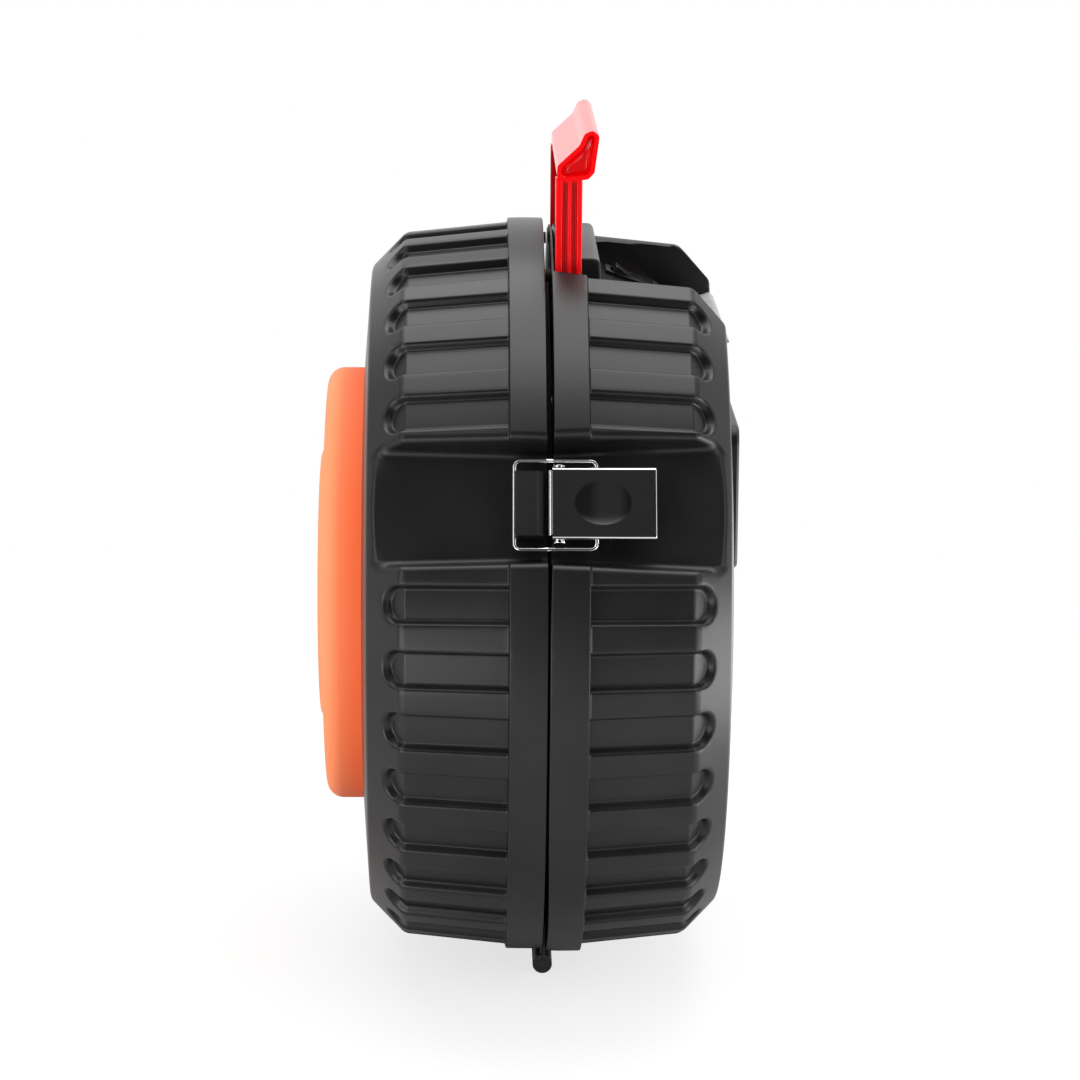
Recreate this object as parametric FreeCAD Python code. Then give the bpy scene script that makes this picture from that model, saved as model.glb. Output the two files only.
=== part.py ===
import FreeCAD, Part
import math
import os
from FreeCAD import Vector

# Driving dimensions, in millimetres and degrees.
# Everything is laid out on the wheel axis: X along the axis, the parting plane at X = 0,
# the power half at +X, the storage half at -X, Z up. The last step moves it onto its base.
seam_half = 1.1              # half of the gap between the two halves
storage_rim_r = 150.0        # raised band beside the gap, storage half
power_rim_r = 151.0          # the same band on the power half
band_edge_x = 15.2
tread_r = 148.3              # tread beside the band
tread_end_x = 56.5
tread_end_r = 144.0
shoulder_x = 70.0
shoulder_r = 130.0
face_x = 72.4
face_flat_r = 98.0
wall = 3.0
tread_wall = 6.0             # deep enough to keep a wall under the flutes
mouth_r = 121.0              # inside of the parting flange
flange_x = 4.1
ledge_r = 112.0              # the power half's ledge carries the deck
ledge_thick = 2.6
tread_round = 4.0
shoulder_round = 3.5
band_bevel = 0.7

flute_pitch = 10.0
flute_depth = 3.3
flute_half_width = 6.1       # of the floor
flute_draft = 0.42           # sideways growth per millimetre of depth
flute_tip_x = 63.3           # outer end of the flute, on the shoulder
flute_clear = 2.5

land_r = 132.8               # flat of the latch pocket, from the wheel axis
land_angle = 25.5            # its direction above the horizontal
storage_land = (20.9, 22.6)  # half width of its flat, at the seam and at the outer end
power_land = (21.6, 24.6)
land_draft = 0.2
land_round = 2.5
land_wall = 3.2
pocket_top = 30.0

recess_half = 55.0           # console recess in the top of the power half
recess_wall = 2.5
recess_back_x = 2.4
recess_back_r = 147.3
recess_floor_z = 106.0
lead_in_z = 134.5            # foot of the sloped lead-in beside the handle's arms
lead_in_half = (54.3, 58.5)  # its half width at that height, at the seam and at the band's edge
lead_in_slope = 0.9
sill_x = 60.0
sill_z = 107.2
sill_slope = 0.266

handle_x = 8.1               # fold axis of the carry handle
handle_z = 128.0
arm_width = 10.5
arm_in_y = 49.2
arm_out_y = 54.2
grip_half = 54.2
handle_pin_r = 3.0

hub_r = 88.5
hub_front_x = 91.0
face_plate_front_x = 76.0

hinge_z = -152.2
hinge_half = 38.5
knuckle_r = 4.0
hinge_pin_r = 1.8
knuckle_count = 5
leaf_thick = 1.0

pivot_x = 3.6                # latch lever pivot, above its land
pivot_h = 7.4
bail_x = 17.8
bail_h = 6.8
bar_x = -13.4
bail_half = 17.2
wire_r = 0.8
lever_end_x = 40.4
lever_half = 14.0

panel_top_x = 21.8           # sloping console panel
panel_top_z = 126.5
panel_end_x = 59.6
panel_end_z = 113.2
panel_half = 48.0
panel_thick = 2.4

socket_r = 10.5
output_r = 5.0
output_y = 64.0
output_z = 44.0

running_gap = 0.05
clear_gap = 0.4

x_axis = Vector(1, 0, 0)
y_axis = Vector(0, 1, 0)
z_axis = Vector(0, 0, 1)
origin = Vector(0, 0, 0)

case_shift = Vector((hub_front_x - face_plate_front_x) / 2, 0, knuckle_r - hinge_z)


# Outlines: each corner is (u, v) or (u, v, rounding radius)
def corner_points(corner, before, after, place):
    here = place(corner[0], corner[1])
    if len(corner) < 3:
        return here, here, None
    to_before = (place(before[0], before[1]) - here).normalize()
    to_after = (place(after[0], after[1]) - here).normalize()
    half_angle = to_before.getAngle(to_after) / 2
    inward = (to_before + to_after).normalize()
    reach = corner[2] / math.tan(half_angle)
    centre = here + inward * (corner[2] / math.sin(half_angle))
    return here + to_before * reach, here + to_after * reach, centre - inward * corner[2]


def outline(corners, place):
    count = len(corners)
    spots = [corner_points(corners[i], corners[i - 1], corners[(i + 1) % count], place)
             for i in range(count)]
    edges = []
    for i in range(count):
        start, end, middle = spots[i]
        if middle is not None:
            edges.append(Part.Arc(start, middle, end).toShape())
        following = spots[(i + 1) % count][0]
        if (following - end).Length > 1e-6:
            edges.append(Part.LineSegment(end, following).toShape())
    return Part.Face(Part.Wire(edges))


def along_y(corners, y_start, y_end):
    face = outline(corners, lambda u, v: Vector(u, y_start, v))
    return face.extrude(Vector(0, y_end - y_start, 0))


def along_x(corners, x_start, x_end):
    face = outline(corners, lambda u, v: Vector(x_start, u, v))
    return face.extrude(Vector(x_end - x_start, 0, 0))


def along_z(corners, z_start, z_end):
    face = outline(corners, lambda u, v: Vector(u, v, z_start))
    return face.extrude(Vector(0, 0, z_end - z_start))


def turned(corners):
    face = outline(corners, lambda u, v: Vector(u, 0, v))
    return face.revolve(origin, x_axis, 360)


def block(x_range, y_range, z_range):
    return Part.makeBox(x_range[1] - x_range[0], y_range[1] - y_range[0], z_range[1] - z_range[0],
                        Vector(x_range[0], y_range[0], z_range[0]))


def rod(radius, start, end):
    return Part.makeCylinder(radius, (end - start).Length, start, end - start)


def capped_rod(radius, start, end, rounding):
    # a rod whose rim at the end is rounded
    body = rod(radius, start, end)
    rim = [edge for edge in body.Edges if (edge.CenterOfMass - end).Length < 1e-6]
    return body.makeFillet(rounding, rim)


def rounded_rect(u_range, v_range, radius):
    return [(u_range[0], v_range[0], radius), (u_range[1], v_range[0], radius),
            (u_range[1], v_range[1], radius), (u_range[0], v_range[1], radius)]


def both_sides(shape):
    return Part.makeCompound([shape, shape.mirror(origin, y_axis)])


def fused(shapes):
    return shapes[0].multiFuse(shapes[1:]).removeSplitter() if len(shapes) > 1 else shapes[0]


# Tread flutes
def offset_line(start, end, distance):
    # the line from start to end in (x, r), moved outward by a distance
    length = math.hypot(end[0] - start[0], end[1] - start[1])
    normal = ((start[1] - end[1]) / length, (end[0] - start[0]) / length)
    return [(p[0] + normal[0] * distance, p[1] + normal[1] * distance) for p in (start, end)]


def crossing(line_a, line_b):
    (ax, ay), (bx, by) = line_a
    (cx, cy), (dx, dy) = line_b
    det = (bx - ax) * (dy - cy) - (by - ay) * (dx - cx)
    share = ((cx - ax) * (dy - cy) - (cy - ay) * (dx - cx)) / det
    return (ax + share * (bx - ax), ay + share * (by - ay))


def at_x(line, x):
    (ax, ay), (bx, by) = line
    return (x, ay + (by - ay) * (x - ax) / (bx - ax))


def wedge_run(start, end):
    # six flat faces between two trapezoids: (low point, high point, low half width, high half width)
    def section(low, high, low_half, high_half):
        return [Vector(low[0], -low_half, low[1]), Vector(low[0], low_half, low[1]),
                Vector(high[0], high_half, high[1]), Vector(high[0], -high_half, high[1])]
    a, b = section(*start), section(*end)
    rings = [a, b] + [[a[i], a[(i + 1) % 4], b[(i + 1) % 4], b[i]] for i in range(4)]
    faces = [Part.Face(Part.makePolygon(ring + ring[:1])) for ring in rings]
    return Part.Solid(Part.Shell(faces))


def flute_tools():
    # one flute of the power half at the top of the wheel
    tread = ((band_edge_x, tread_r), (tread_end_x, tread_end_r))
    shoulder = ((tread_end_x, tread_end_r), (shoulder_x, shoulder_r))
    high_half = flute_half_width + flute_draft * (flute_depth + flute_clear)
    low_tread, high_tread = offset_line(*tread, -flute_depth), offset_line(*tread, flute_clear)
    low_slope, high_slope = offset_line(*shoulder, -flute_depth), offset_line(*shoulder, flute_clear)
    low_bend, high_bend = crossing(low_tread, low_slope), crossing(high_tread, high_slope)
    widths = (flute_half_width, high_half)
    tread_run = wedge_run((at_x(low_tread, band_edge_x), at_x(high_tread, band_edge_x), *widths),
                          (low_bend, high_bend, *widths))
    run = Vector(shoulder_x - tread_end_x, 0, shoulder_r - tread_end_r).normalize()
    rise = Vector(-run.z, 0, run.x)
    top_half = flute_half_width + flute_draft * flute_depth
    low_end = at_x(low_slope, flute_tip_x - top_half * run.x - flute_depth * rise.x)
    tip = Vector(low_end[0], 0, low_end[1])
    peak = tip + rise * (flute_depth + flute_clear)
    slope_run = wedge_run((low_bend, high_bend, *widths), (low_end, (peak.x, peak.z), *widths))
    quarter = Part.Face(Part.makePolygon([tip, peak, peak - y_axis * high_half,
                                          tip - y_axis * flute_half_width, tip]))
    end = quarter.revolve(tip, rise, 180)
    return [tread_run, slope_run, end]


def fluted(body, angles):
    tools = []
    for tool in flute_tools():
        for angle in angles:
            turned_tool = tool.copy()
            turned_tool.rotate(origin, x_axis, angle - 90)
            tools.append(turned_tool)
    return body.cut(tools)


# Case halves, both drawn at +X
def half_outline(rim_r):
    return [(seam_half, 0), (seam_half, rim_r - band_bevel), (seam_half + band_bevel, rim_r),
            (band_edge_x - band_bevel, rim_r), (band_edge_x, rim_r - band_bevel),
            (band_edge_x, tread_r), (tread_end_x, tread_end_r, tread_round),
            (shoulder_x, shoulder_r, shoulder_round), (face_x, face_flat_r), (face_x, 0)]


def cavity_outline(ledge):
    tread = offset_line((band_edge_x, tread_r), (tread_end_x, tread_end_r), -tread_wall)
    slope = offset_line((tread_end_x, tread_end_r), (shoulder_x, shoulder_r), -tread_wall)
    inner_x = face_x - wall
    mouth = [(seam_half - 1, 0), (seam_half - 1, mouth_r), (flange_x, mouth_r)]
    back_x = flange_x
    if ledge:
        back_x = flange_x + ledge_thick
        mouth += [(flange_x, ledge_r), (back_x, ledge_r)]
    return mouth + [at_x(tread, back_x), crossing(tread, slope), at_x(slope, inner_x), (inner_x, 0)]


def onto_land(shape):
    # from latch coordinates (X, along the rim, out of the land) onto the near land
    placed = shape.copy()
    placed.rotate(origin, x_axis, 90 - land_angle)
    angle = math.radians(land_angle)
    placed.translate(Vector(0, -math.cos(angle), math.sin(angle)) * land_r)
    return placed


def pocket_tool(halves):
    # widens away from the seam, with rounded feet along both side walls
    grow = land_draft * pocket_top
    spread = (halves[1] - halves[0]) / face_x
    sections = [((x, 0), (x, pocket_top), halves[0] + spread * x, halves[0] + spread * x + grow)
                for x in (-5.0, face_x + 10)]
    tool = wedge_run(*sections)
    feet = [edge for edge in tool.Edges if edge.BoundBox.ZMax < 1e-6 and edge.BoundBox.XLength > 10]
    return onto_land(tool.makeFillet(land_round, feet))


def pocket_backing(halves):
    reach = halves[1] + land_draft * 15 + land_wall
    return onto_land(block((-face_x - 10, face_x + 10), (-reach, reach), (-land_wall, pocket_top)))


def recess_tool():
    top = power_rim_r + 20
    outer_x = face_x + 10
    corners = [(recess_back_x, recess_floor_z), (sill_x, recess_floor_z), (sill_x, sill_z),
               (outer_x, sill_z + sill_slope * (outer_x - sill_x)), (outer_x, top), (recess_back_x, top)]
    trough = along_y(corners, -recess_half, recess_half)
    rim = block((0, recess_back_x + 1), (-recess_half, recess_half), (recess_floor_z, top))
    rim = rim.cut(rod(recess_back_r, Vector(-1, 0, 0), Vector(recess_back_x + 2, 0, 0)))
    rise = top - lead_in_z
    ends = [((x, lead_in_z), (x, top), half, half + lead_in_slope * rise)
            for x, half in zip((0, band_edge_x), lead_in_half)]
    middle = block((-1, band_edge_x + 1), (-recess_half, recess_half), (lead_in_z - 1, top + 1))
    return trough.multiFuse([rim, wedge_run(*ends).cut(middle)]).removeSplitter()


def recess_backing():
    outer = recess_half + recess_wall
    return block((0, face_x + 10), (-outer, outer), (recess_floor_z - recess_wall, power_rim_r + 20))


def barrel_relief():
    relief = knuckle_r + 0.6
    reach = hinge_half + 0.8
    return rod(relief, Vector(0, -reach, hinge_z), Vector(0, reach, hinge_z))


def case_half(rim_r, ledge, angles, keep, cuts):
    body = fluted(turned(half_outline(rim_r)), angles)
    hollow = turned(cavity_outline(ledge)).cut(keep)
    return body.cut([hollow] + cuts)


pocket_angles = [20.0, 30.0, 150.0, 160.0]
recess_angles = [80.0, 90.0, 100.0]
flute_angles = [i * flute_pitch for i in range(36) if i * flute_pitch not in pocket_angles]

deck_screw_r = 116.5
deck_screw_angles = [50.0, 0.0, -40.0, -75.0, -105.0, -140.0, 180.0, 130.0]
boss_y = 84.0
boss_z = -33.0
boss_x = 62.0
hub_screw_r = 60.0
hub_screw_angles = [45.0, 135.0, 225.0, 315.0]
base_rivets = [(16.0, -7.0), (16.0, 7.0)]
strike_rivets = [(-7.2, -8.0), (-7.2, 8.0)]
hinge_rivets = [-28.0, 0.0, 28.0]
hinge_rivet_z = -136.2
latch_rivet_r = 1.6
hinge_rivet_r = 1.5
screw_r = 1.5


def polar(radius, angle, x):
    return Vector(x, radius * math.cos(math.radians(angle)), radius * math.sin(math.radians(angle)))


def land_holes(spots):
    holes = [onto_land(rod(latch_rivet_r, Vector(x, t, -land_wall - 1), Vector(x, t, 1))) for x, t in spots]
    return holes + [hole.mirror(origin, y_axis) for hole in holes]


def hinge_holes():
    return [rod(hinge_rivet_r, Vector(-10, y, hinge_rivet_z), Vector(10, y, hinge_rivet_z))
            for y in hinge_rivets]


def power_shell():
    near = pocket_tool(power_land)
    backing = pocket_backing(power_land)
    keep = [backing, backing.mirror(origin, y_axis), recess_backing()]
    angles = [a for a in flute_angles if a not in recess_angles]
    window = along_z(rounded_rect((24.6, 57.0), (-44, 44), 4),
                     recess_floor_z - recess_wall - 1, recess_floor_z + 1)
    screw_holes = [rod(screw_r, polar(deck_screw_r, a, flange_x - 1),
                       polar(deck_screw_r, a, flange_x + ledge_thick + 1)) for a in deck_screw_angles]
    pin_hole = rod(handle_pin_r, Vector(handle_x, -recess_half - recess_wall - 1, handle_z),
                   Vector(handle_x, recess_half + recess_wall + 1, handle_z))
    cuts = [near, near.mirror(origin, y_axis), window, barrel_relief(), pin_hole]
    cuts += [recess_tool()] + screw_holes + land_holes(base_rivets) + hinge_holes()
    shell = case_half(power_rim_r, True, angles, keep, cuts)
    sides = (-boss_y, boss_y)
    bosses = [rod(6, Vector(boss_x, y, boss_z), Vector(face_x - 1, y, boss_z)) for y in sides]
    pilots = [rod(2, Vector(boss_x - 1, y, boss_z), Vector(face_x - wall, y, boss_z)) for y in sides]
    return shell.multiFuse(bosses).cut(pilots)


def storage_shell():
    near = pocket_tool(storage_land)
    backing = pocket_backing(storage_land)
    keep = [backing, backing.mirror(origin, y_axis)]
    screw_holes = [rod(screw_r, polar(hub_screw_r, a, face_x - wall - 1),
                       polar(hub_screw_r, a, face_x + 1)) for a in hub_screw_angles]
    mirrored = [(-x, t) for x, t in strike_rivets]
    cuts = [near, near.mirror(origin, y_axis), barrel_relief()]
    cuts += screw_holes + land_holes(mirrored) + hinge_holes()
    shell = case_half(storage_rim_r, False, flute_angles, keep, cuts)
    return shell.mirror(origin, x_axis)


# Hub cover on the storage face
def hub_cover():
    rim_x, slope_x = 87.8, 89.7
    plateau_r, plateau_foot_r = 53.0, 56.0
    skin = 2.6
    outer = turned([(face_x, 0), (face_x, hub_r), (rim_x, hub_r, 6.5), (slope_x, plateau_foot_r),
                    (hub_front_x, plateau_r, 1.0), (hub_front_x, 0)])
    inner = turned([(face_x - 1, 0), (face_x - 1, hub_r - skin), (rim_x - skin, hub_r - skin, 4.0),
                    (slope_x - skin, plateau_foot_r - 1), (slope_x - skin, 0)])
    posts = [rod(4.5, polar(hub_screw_r, a, face_x), polar(hub_screw_r, a, slope_x - 1))
             for a in hub_screw_angles]
    cover = fused([outer.cut(inner)] + posts)
    pilots = [rod(screw_r, polar(hub_screw_r, a, face_x - 1), polar(hub_screw_r, a, face_x + 10))
              for a in hub_screw_angles]
    return cover.cut(pilots).mirror(origin, x_axis)


def headed(point, direction, shank, shank_r, head_r, head_height):
    # a screw or rivet: head on the near side of the point, shank along the direction
    head = capped_rod(head_r, point, point - direction * head_height, head_height * 0.6)
    return fused([head, rod(shank_r, point, point + direction * shank)])


def hub_screws():
    return Part.makeCompound([headed(polar(hub_screw_r, a, wall - face_x), -x_axis, 12.0, screw_r, 3.2, 1.8)
                              for a in hub_screw_angles])


# Console
def panel_z(x):
    return panel_top_z + (panel_end_z - panel_top_z) * (x - panel_top_x) / (panel_end_x - panel_top_x)


panel_angle = math.degrees(math.atan2(panel_top_z - panel_end_z, panel_end_x - panel_top_x))


def on_panel(shape, x, y):
    # from panel coordinates (down the slope, across, out of the panel) to the case
    placed = shape.copy()
    placed.rotate(origin, y_axis, panel_angle)
    placed.translate(Vector(x, y, panel_z(x)))
    return placed


switch_spot = (36.0, 32.0)
button_spot = (40.0, 6.0)
lamp_spot = (53.5, 10.0)
lamp_pitch = 5.0
socket_spot = (43.5, -22.0)
rocker_half = (8.5, 6.0)
bezel_half = (11.5, 8.5)
button_r = 3.6
lamp_r = 1.5
socket_body_r = 12.5
socket_flange_r = 14.5
socket_depth = 38.0


def lamp_places():
    return [(lamp_spot[0], lamp_spot[1] + lamp_pitch * (i - 1.5)) for i in range(4)]


def console_panel():
    drop = panel_thick / math.cos(math.radians(panel_angle))
    foot = recess_floor_z
    outer = [(panel_top_x, foot), (panel_end_x, foot),
             (panel_end_x, panel_end_z, 1.2), (panel_top_x, panel_top_z)]
    inner = [(panel_top_x + panel_thick, foot - 1), (panel_end_x - panel_thick, foot - 1),
             (panel_end_x - panel_thick, panel_z(panel_end_x - panel_thick) - drop),
             (panel_top_x + panel_thick, panel_z(panel_top_x + panel_thick) - drop)]
    panel = along_y(outer, -panel_half, panel_half)
    panel = panel.cut(along_y(inner, panel_thick - panel_half, panel_half - panel_thick))
    holes = [on_panel(block((-9.6, 9.6), (-6.6, 6.6), (-9, 5)), *switch_spot),
             on_panel(rod(button_r + running_gap, -z_axis * 9, z_axis * 5), *button_spot),
             on_panel(rod(socket_body_r, -z_axis * 9, z_axis * 5), *socket_spot)]
    holes += [on_panel(rod(lamp_r, -z_axis * 9, z_axis * 5), *spot) for spot in lamp_places()]
    return panel.cut(holes)


def switch_bezel():
    length, width = bezel_half
    ring = along_z(rounded_rect((-length, length), (-width, width), 1.5), 0, 1.4)
    body = block((-9.6, 9.6), (-6.6, 6.6), (-9, 0))
    opening = block((-9.4, 9.4), (-6.4, 6.4), (-7.5, 3))
    return on_panel(fused([ring, body]).cut(opening), *switch_spot)


rocker_tilt = 9.0
rocker_pivot_drop = 2.0


def power_rocker():
    # a shallow V of two paddles, tipped to its off side
    length, width = rocker_half
    corners = [(-length, -3.2), (length, -3.2), (length, 2.6, 0.6), (0, 1.0), (-length, 2.6, 0.6)]
    key = along_y(corners, -width, width)
    key.rotate(Vector(0, 0, -rocker_pivot_drop), y_axis, rocker_tilt)
    return on_panel(key, *switch_spot)


def test_button():
    cap = capped_rod(button_r, -z_axis * 7, z_axis * 2.4, 0.8)
    guide = rod(1.5, -z_axis * 12, -z_axis * 7)
    return on_panel(fused([cap, guide]), *button_spot)


def charge_lamps():
    lenses = []
    for spot in lamp_places():
        dome = Part.makeSphere(lamp_r, origin, z_axis, 0, 90, 360)
        lens = fused([dome, rod(lamp_r, -z_axis * 5, origin)])
        lenses.append(on_panel(lens, *spot))
    return Part.makeCompound(lenses)


def accessory_socket():
    flange = capped_rod(socket_flange_r, origin, z_axis * 2.2, 0.8)
    body = rod(socket_body_r, -z_axis * (socket_depth + 3), origin)
    bore = rod(socket_r, -z_axis * socket_depth, z_axis * 3)
    return on_panel(fused([flange, body]).cut(bore), *socket_spot)


def shoulder_plate():
    # pale trim along the open sill of the recess
    lift = 2.2
    end_x = 71.6
    start = sill_z + sill_slope * 0.4
    foot = sill_z + sill_slope * (end_x - sill_x)
    corners = [(sill_x + 0.4, start), (end_x, foot), (end_x, foot + 0.5, 0.4),
               (end_x - 1.8, foot + lift, 0.6), (sill_x + 0.4, start + lift, 0.5)]
    return along_y(corners, clear_gap - recess_half, recess_half - clear_gap)


def handle_block():
    # carries the fold pins between the arms of the handle
    left_x, right_x, top_z = 3.5, 21.4, 142.5
    half = 48.6
    corners = [(left_x, recess_floor_z), (right_x, recess_floor_z),
               (right_x - 0.6, top_z, 2.8), (left_x, top_z, 1.5)]
    body = along_y(corners, -half, half)
    hollow = along_y([(left_x + 2.6, recess_floor_z - 1), (right_x - 2.6, recess_floor_z - 1),
                      (right_x - 3.2, top_z - 2.6), (left_x + 2.6, top_z - 2.6)],
                     4.0 - half, half - 4.0)
    pin_hole = rod(handle_pin_r, Vector(handle_x, -half - 1, handle_z), Vector(handle_x, half + 1, handle_z))
    return body.cut([hollow, pin_hole])


def handle_pins():
    pin = rod(handle_pin_r, Vector(handle_x, -recess_half - recess_wall, handle_z),
              Vector(handle_x, -44.6, handle_z))
    return both_sides(pin)


def ribbed_section(left, right):
    # the arm's cross-section: three rounded ribs on its outer face
    rib_r, groove_r, depth = 0.7, 0.6, 1.4
    low = -arm_out_y + depth
    corners = [(left, -arm_in_y, 0.5), (left, -arm_out_y, rib_r)]
    for start, end in ((2.7, 4.8), (6.3, 8.4)):
        corners += [(left + start, -arm_out_y, rib_r), (left + start + 0.25, low, groove_r),
                    (left + end - 0.25, low, groove_r), (left + end, -arm_out_y, rib_r)]
    return corners + [(right, -arm_out_y, rib_r), (right, -arm_in_y, 0.5)]


def carry_handle():
    grip_corners = [(6.9, 173.4, 1.5), (15.6, 174.4, 2.0), (18.0, 177.0, 2.0), (19.9, 191.5, 2.2),
                    (17.2, 193.6, 2.0), (14.0, 192.2, 2.5), (12.0, 187.6, 3.0), (3.4, 179.6, 2.0),
                    (3.3, 174.6, 2.0)]
    grip = along_y(grip_corners, -grip_half, grip_half)
    core_corners = [(7.2, 175.4), (15.2, 176.3), (16.2, 178.0), (17.9, 190.6), (16.8, 191.6),
                    (15.4, 190.8), (13.6, 186.6), (5.4, 179.0), (5.2, 176.4)]
    end_depth = 9.0
    hollow = along_y(core_corners, -grip_half - 1, end_depth - grip_half)
    rib = along_y([(10.2, 172), (11.4, 172), (11.4, 195), (10.2, 195)], -grip_half, end_depth - grip_half)
    stay = along_y([(14.2, 172), (15.2, 172), (16.4, 195), (15.4, 195)], -grip_half, end_depth - grip_half)
    hollow = hollow.cut([rib, stay])
    left, right = handle_x - arm_width / 2, handle_x + arm_width / 2
    eye_z = handle_z - arm_width / 2
    corner = arm_width / 2 - 0.01
    eye = along_y([(left, eye_z, corner), (right, eye_z, corner), (right, 175.0), (left, 175.0)],
                  -arm_out_y, -arm_in_y)
    arm = along_z(ribbed_section(left, right), eye_z, 175.0).common(eye)
    pin_hole = rod(handle_pin_r + running_gap, Vector(handle_x, -arm_out_y - 1, handle_z),
                   Vector(handle_x, -arm_in_y + 1, handle_z))
    arm = arm.cut(pin_hole)
    handle = fused([grip, arm, arm.mirror(origin, y_axis)])
    return handle.cut([hollow, hollow.mirror(origin, y_axis)])


def face_plate():
    plate = along_x(rounded_rect((-60.0, 60.0), (19.0, 77.0), 7.0), face_x, face_plate_front_x)
    front = [edge for edge in plate.Edges if abs(edge.BoundBox.XMin - face_plate_front_x) < 1e-6]
    return plate.makeChamfer(0.9, front)


# Deck, battery and board
deck_r = mouth_r - 0.4
deck_x = 1.5


def output_places():
    return [Vector(0, side * output_y, output_z) for side in (-1, 1)]


def inner_deck():
    deck = rod(deck_r, Vector(deck_x, 0, 0), Vector(flange_x, 0, 0))
    top = recess_floor_z - recess_wall - 0.4
    deck = deck.common(block((0, 10), (-deck_r, deck_r), (-deck_r, top)))
    posts = [rod(3.0, Vector(flange_x, y, z), Vector(board_x, y, z)) for y, z in board_corners]
    holes = [rod(screw_r, polar(deck_screw_r, a, 0), polar(deck_screw_r, a, 10)) for a in deck_screw_angles]
    holes += [rod(output_body_r, spot, spot + x_axis * 10) for spot in output_places()]
    pilots = [rod(1.25, Vector(flange_x, y, z), Vector(board_x + 1, y, z)) for y, z in board_corners]
    return fused([deck] + posts).cut(holes + pilots)


board_x = 10.0
board_thick = 1.6
board_corners = [(y, z) for y in (-40.0, 40.0) for z in (28.0, 70.0)]
output_body_r = 9.0


def deck_screws():
    return Part.makeCompound([headed(polar(deck_screw_r, a, deck_x), x_axis, 6.0, screw_r, 2.9, 1.5)
                              for a in deck_screw_angles])


def output_socket(spot):
    flange = rod(12.0, spot + x_axis * (deck_x - 1.3), spot + x_axis * deck_x)
    body = rod(output_body_r, spot + x_axis * deck_x, spot + x_axis * 22.0)
    bore = rod(output_r, spot, spot + x_axis * 19.0)
    return fused([flange, body]).cut(bore)


def seal_gasket():
    return turned([(-0.8, 124.0), (-0.8, 127.0), (seam_half, 127.0), (seam_half, 124.0)])


def rim_buffers():
    button = rod(2.4, Vector(-0.8, -50.0, 136.0), Vector(seam_half, -50.0, 136.0))
    return both_sides(button)


battery_x = (11.4, 69.4)
battery_y = 75.0
battery_z = (-80.0, 14.0)
strap_half = 10.0
strap_thick = 1.5


def battery():
    # a block with the line of its lid let in all round
    def level(margin, low, high):
        return along_z(rounded_rect((battery_x[0] - margin, battery_x[1] + margin),
                                    (-battery_y - margin, battery_y + margin), 2.0), low, high)
    case = along_x(rounded_rect((-battery_y, battery_y), battery_z, 4.0), *battery_x)
    return case.cut(level(1.0, 2.0, 3.0).cut(level(-0.8, 1.0, 4.0)))


def battery_terminals():
    post = block((20, 32), (49, 61), (battery_z[1], 22.0))
    return both_sides(post)


def busbar(side):
    corners = [(22.0, 22.0), (32.0, 22.0), (32.0, 24.0), (24.0, 24.0), (24.0, 52.0, 2.0), (22.0, 52.0, 2.0)]
    start, end = (50.0, 72.0) if side > 0 else (-72.0, -50.0)
    return along_y([c[:2] for c in corners], start, end)


def battery_strap():
    front, back = battery_x[0] - strap_thick, boss_x - strap_thick
    half = battery_y + strap_thick
    foot = boss_y + 8.0
    side = [(front, half), (back, half), (back, foot), (boss_x, foot), (boss_x, battery_y),
            (battery_x[0], battery_y)]
    corners = side + [(x, -y) for x, y in reversed(side)]
    strap = along_z(corners, boss_z - strap_half, boss_z + strap_half)
    holes = [rod(2, Vector(boss_x - 5, y, boss_z), Vector(boss_x + 5, y, boss_z)) for y in (-boss_y, boss_y)]
    return strap.cut(holes)


def strap_screws():
    return Part.makeCompound([headed(Vector(boss_x - strap_thick, y, boss_z), x_axis, 8.0, 2.0, 4.0, 2.0)
                              for y in (-boss_y, boss_y)])


def control_board():
    board = along_x(rounded_rect((-44.0, 44.0), (24.0, 74.0), 2.0), board_x, board_x + board_thick)
    holes = [rod(1.25, Vector(board_x - 1, y, z), Vector(board_x + 5, y, z)) for y, z in board_corners]
    return board.cut(holes)


def board_components():
    front = board_x + board_thick
    relay = along_x(rounded_rect((-30.0, -6.0), (32.0, 60.0), 1.0), front, front + 14.0)
    fuse = along_x(rounded_rect((4.0, 16.0), (34.0, 52.0), 1.0), front, front + 8.0)
    cans = [rod(4.0, Vector(front, y, 62.0), Vector(front + 11.0, y, 62.0)) for y in (6.0, 18.0)]
    chip = block((front, front + 2.0), (22.0, 32.0), (36.0, 50.0))
    return Part.makeCompound([relay, fuse, chip] + cans)


def board_screws():
    return Part.makeCompound([headed(Vector(board_x + board_thick, y, z), -x_axis, 6.0, 1.25, 2.4, 1.4)
                              for y, z in board_corners])


# Hinge at the bottom of the seam
def knuckle_spans(power):
    pitch = 2 * hinge_half / knuckle_count
    spans = [(-hinge_half + i * pitch, -hinge_half + (i + 1) * pitch) for i in range(knuckle_count)]
    return spans[0::2] if power else spans[1::2]


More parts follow.
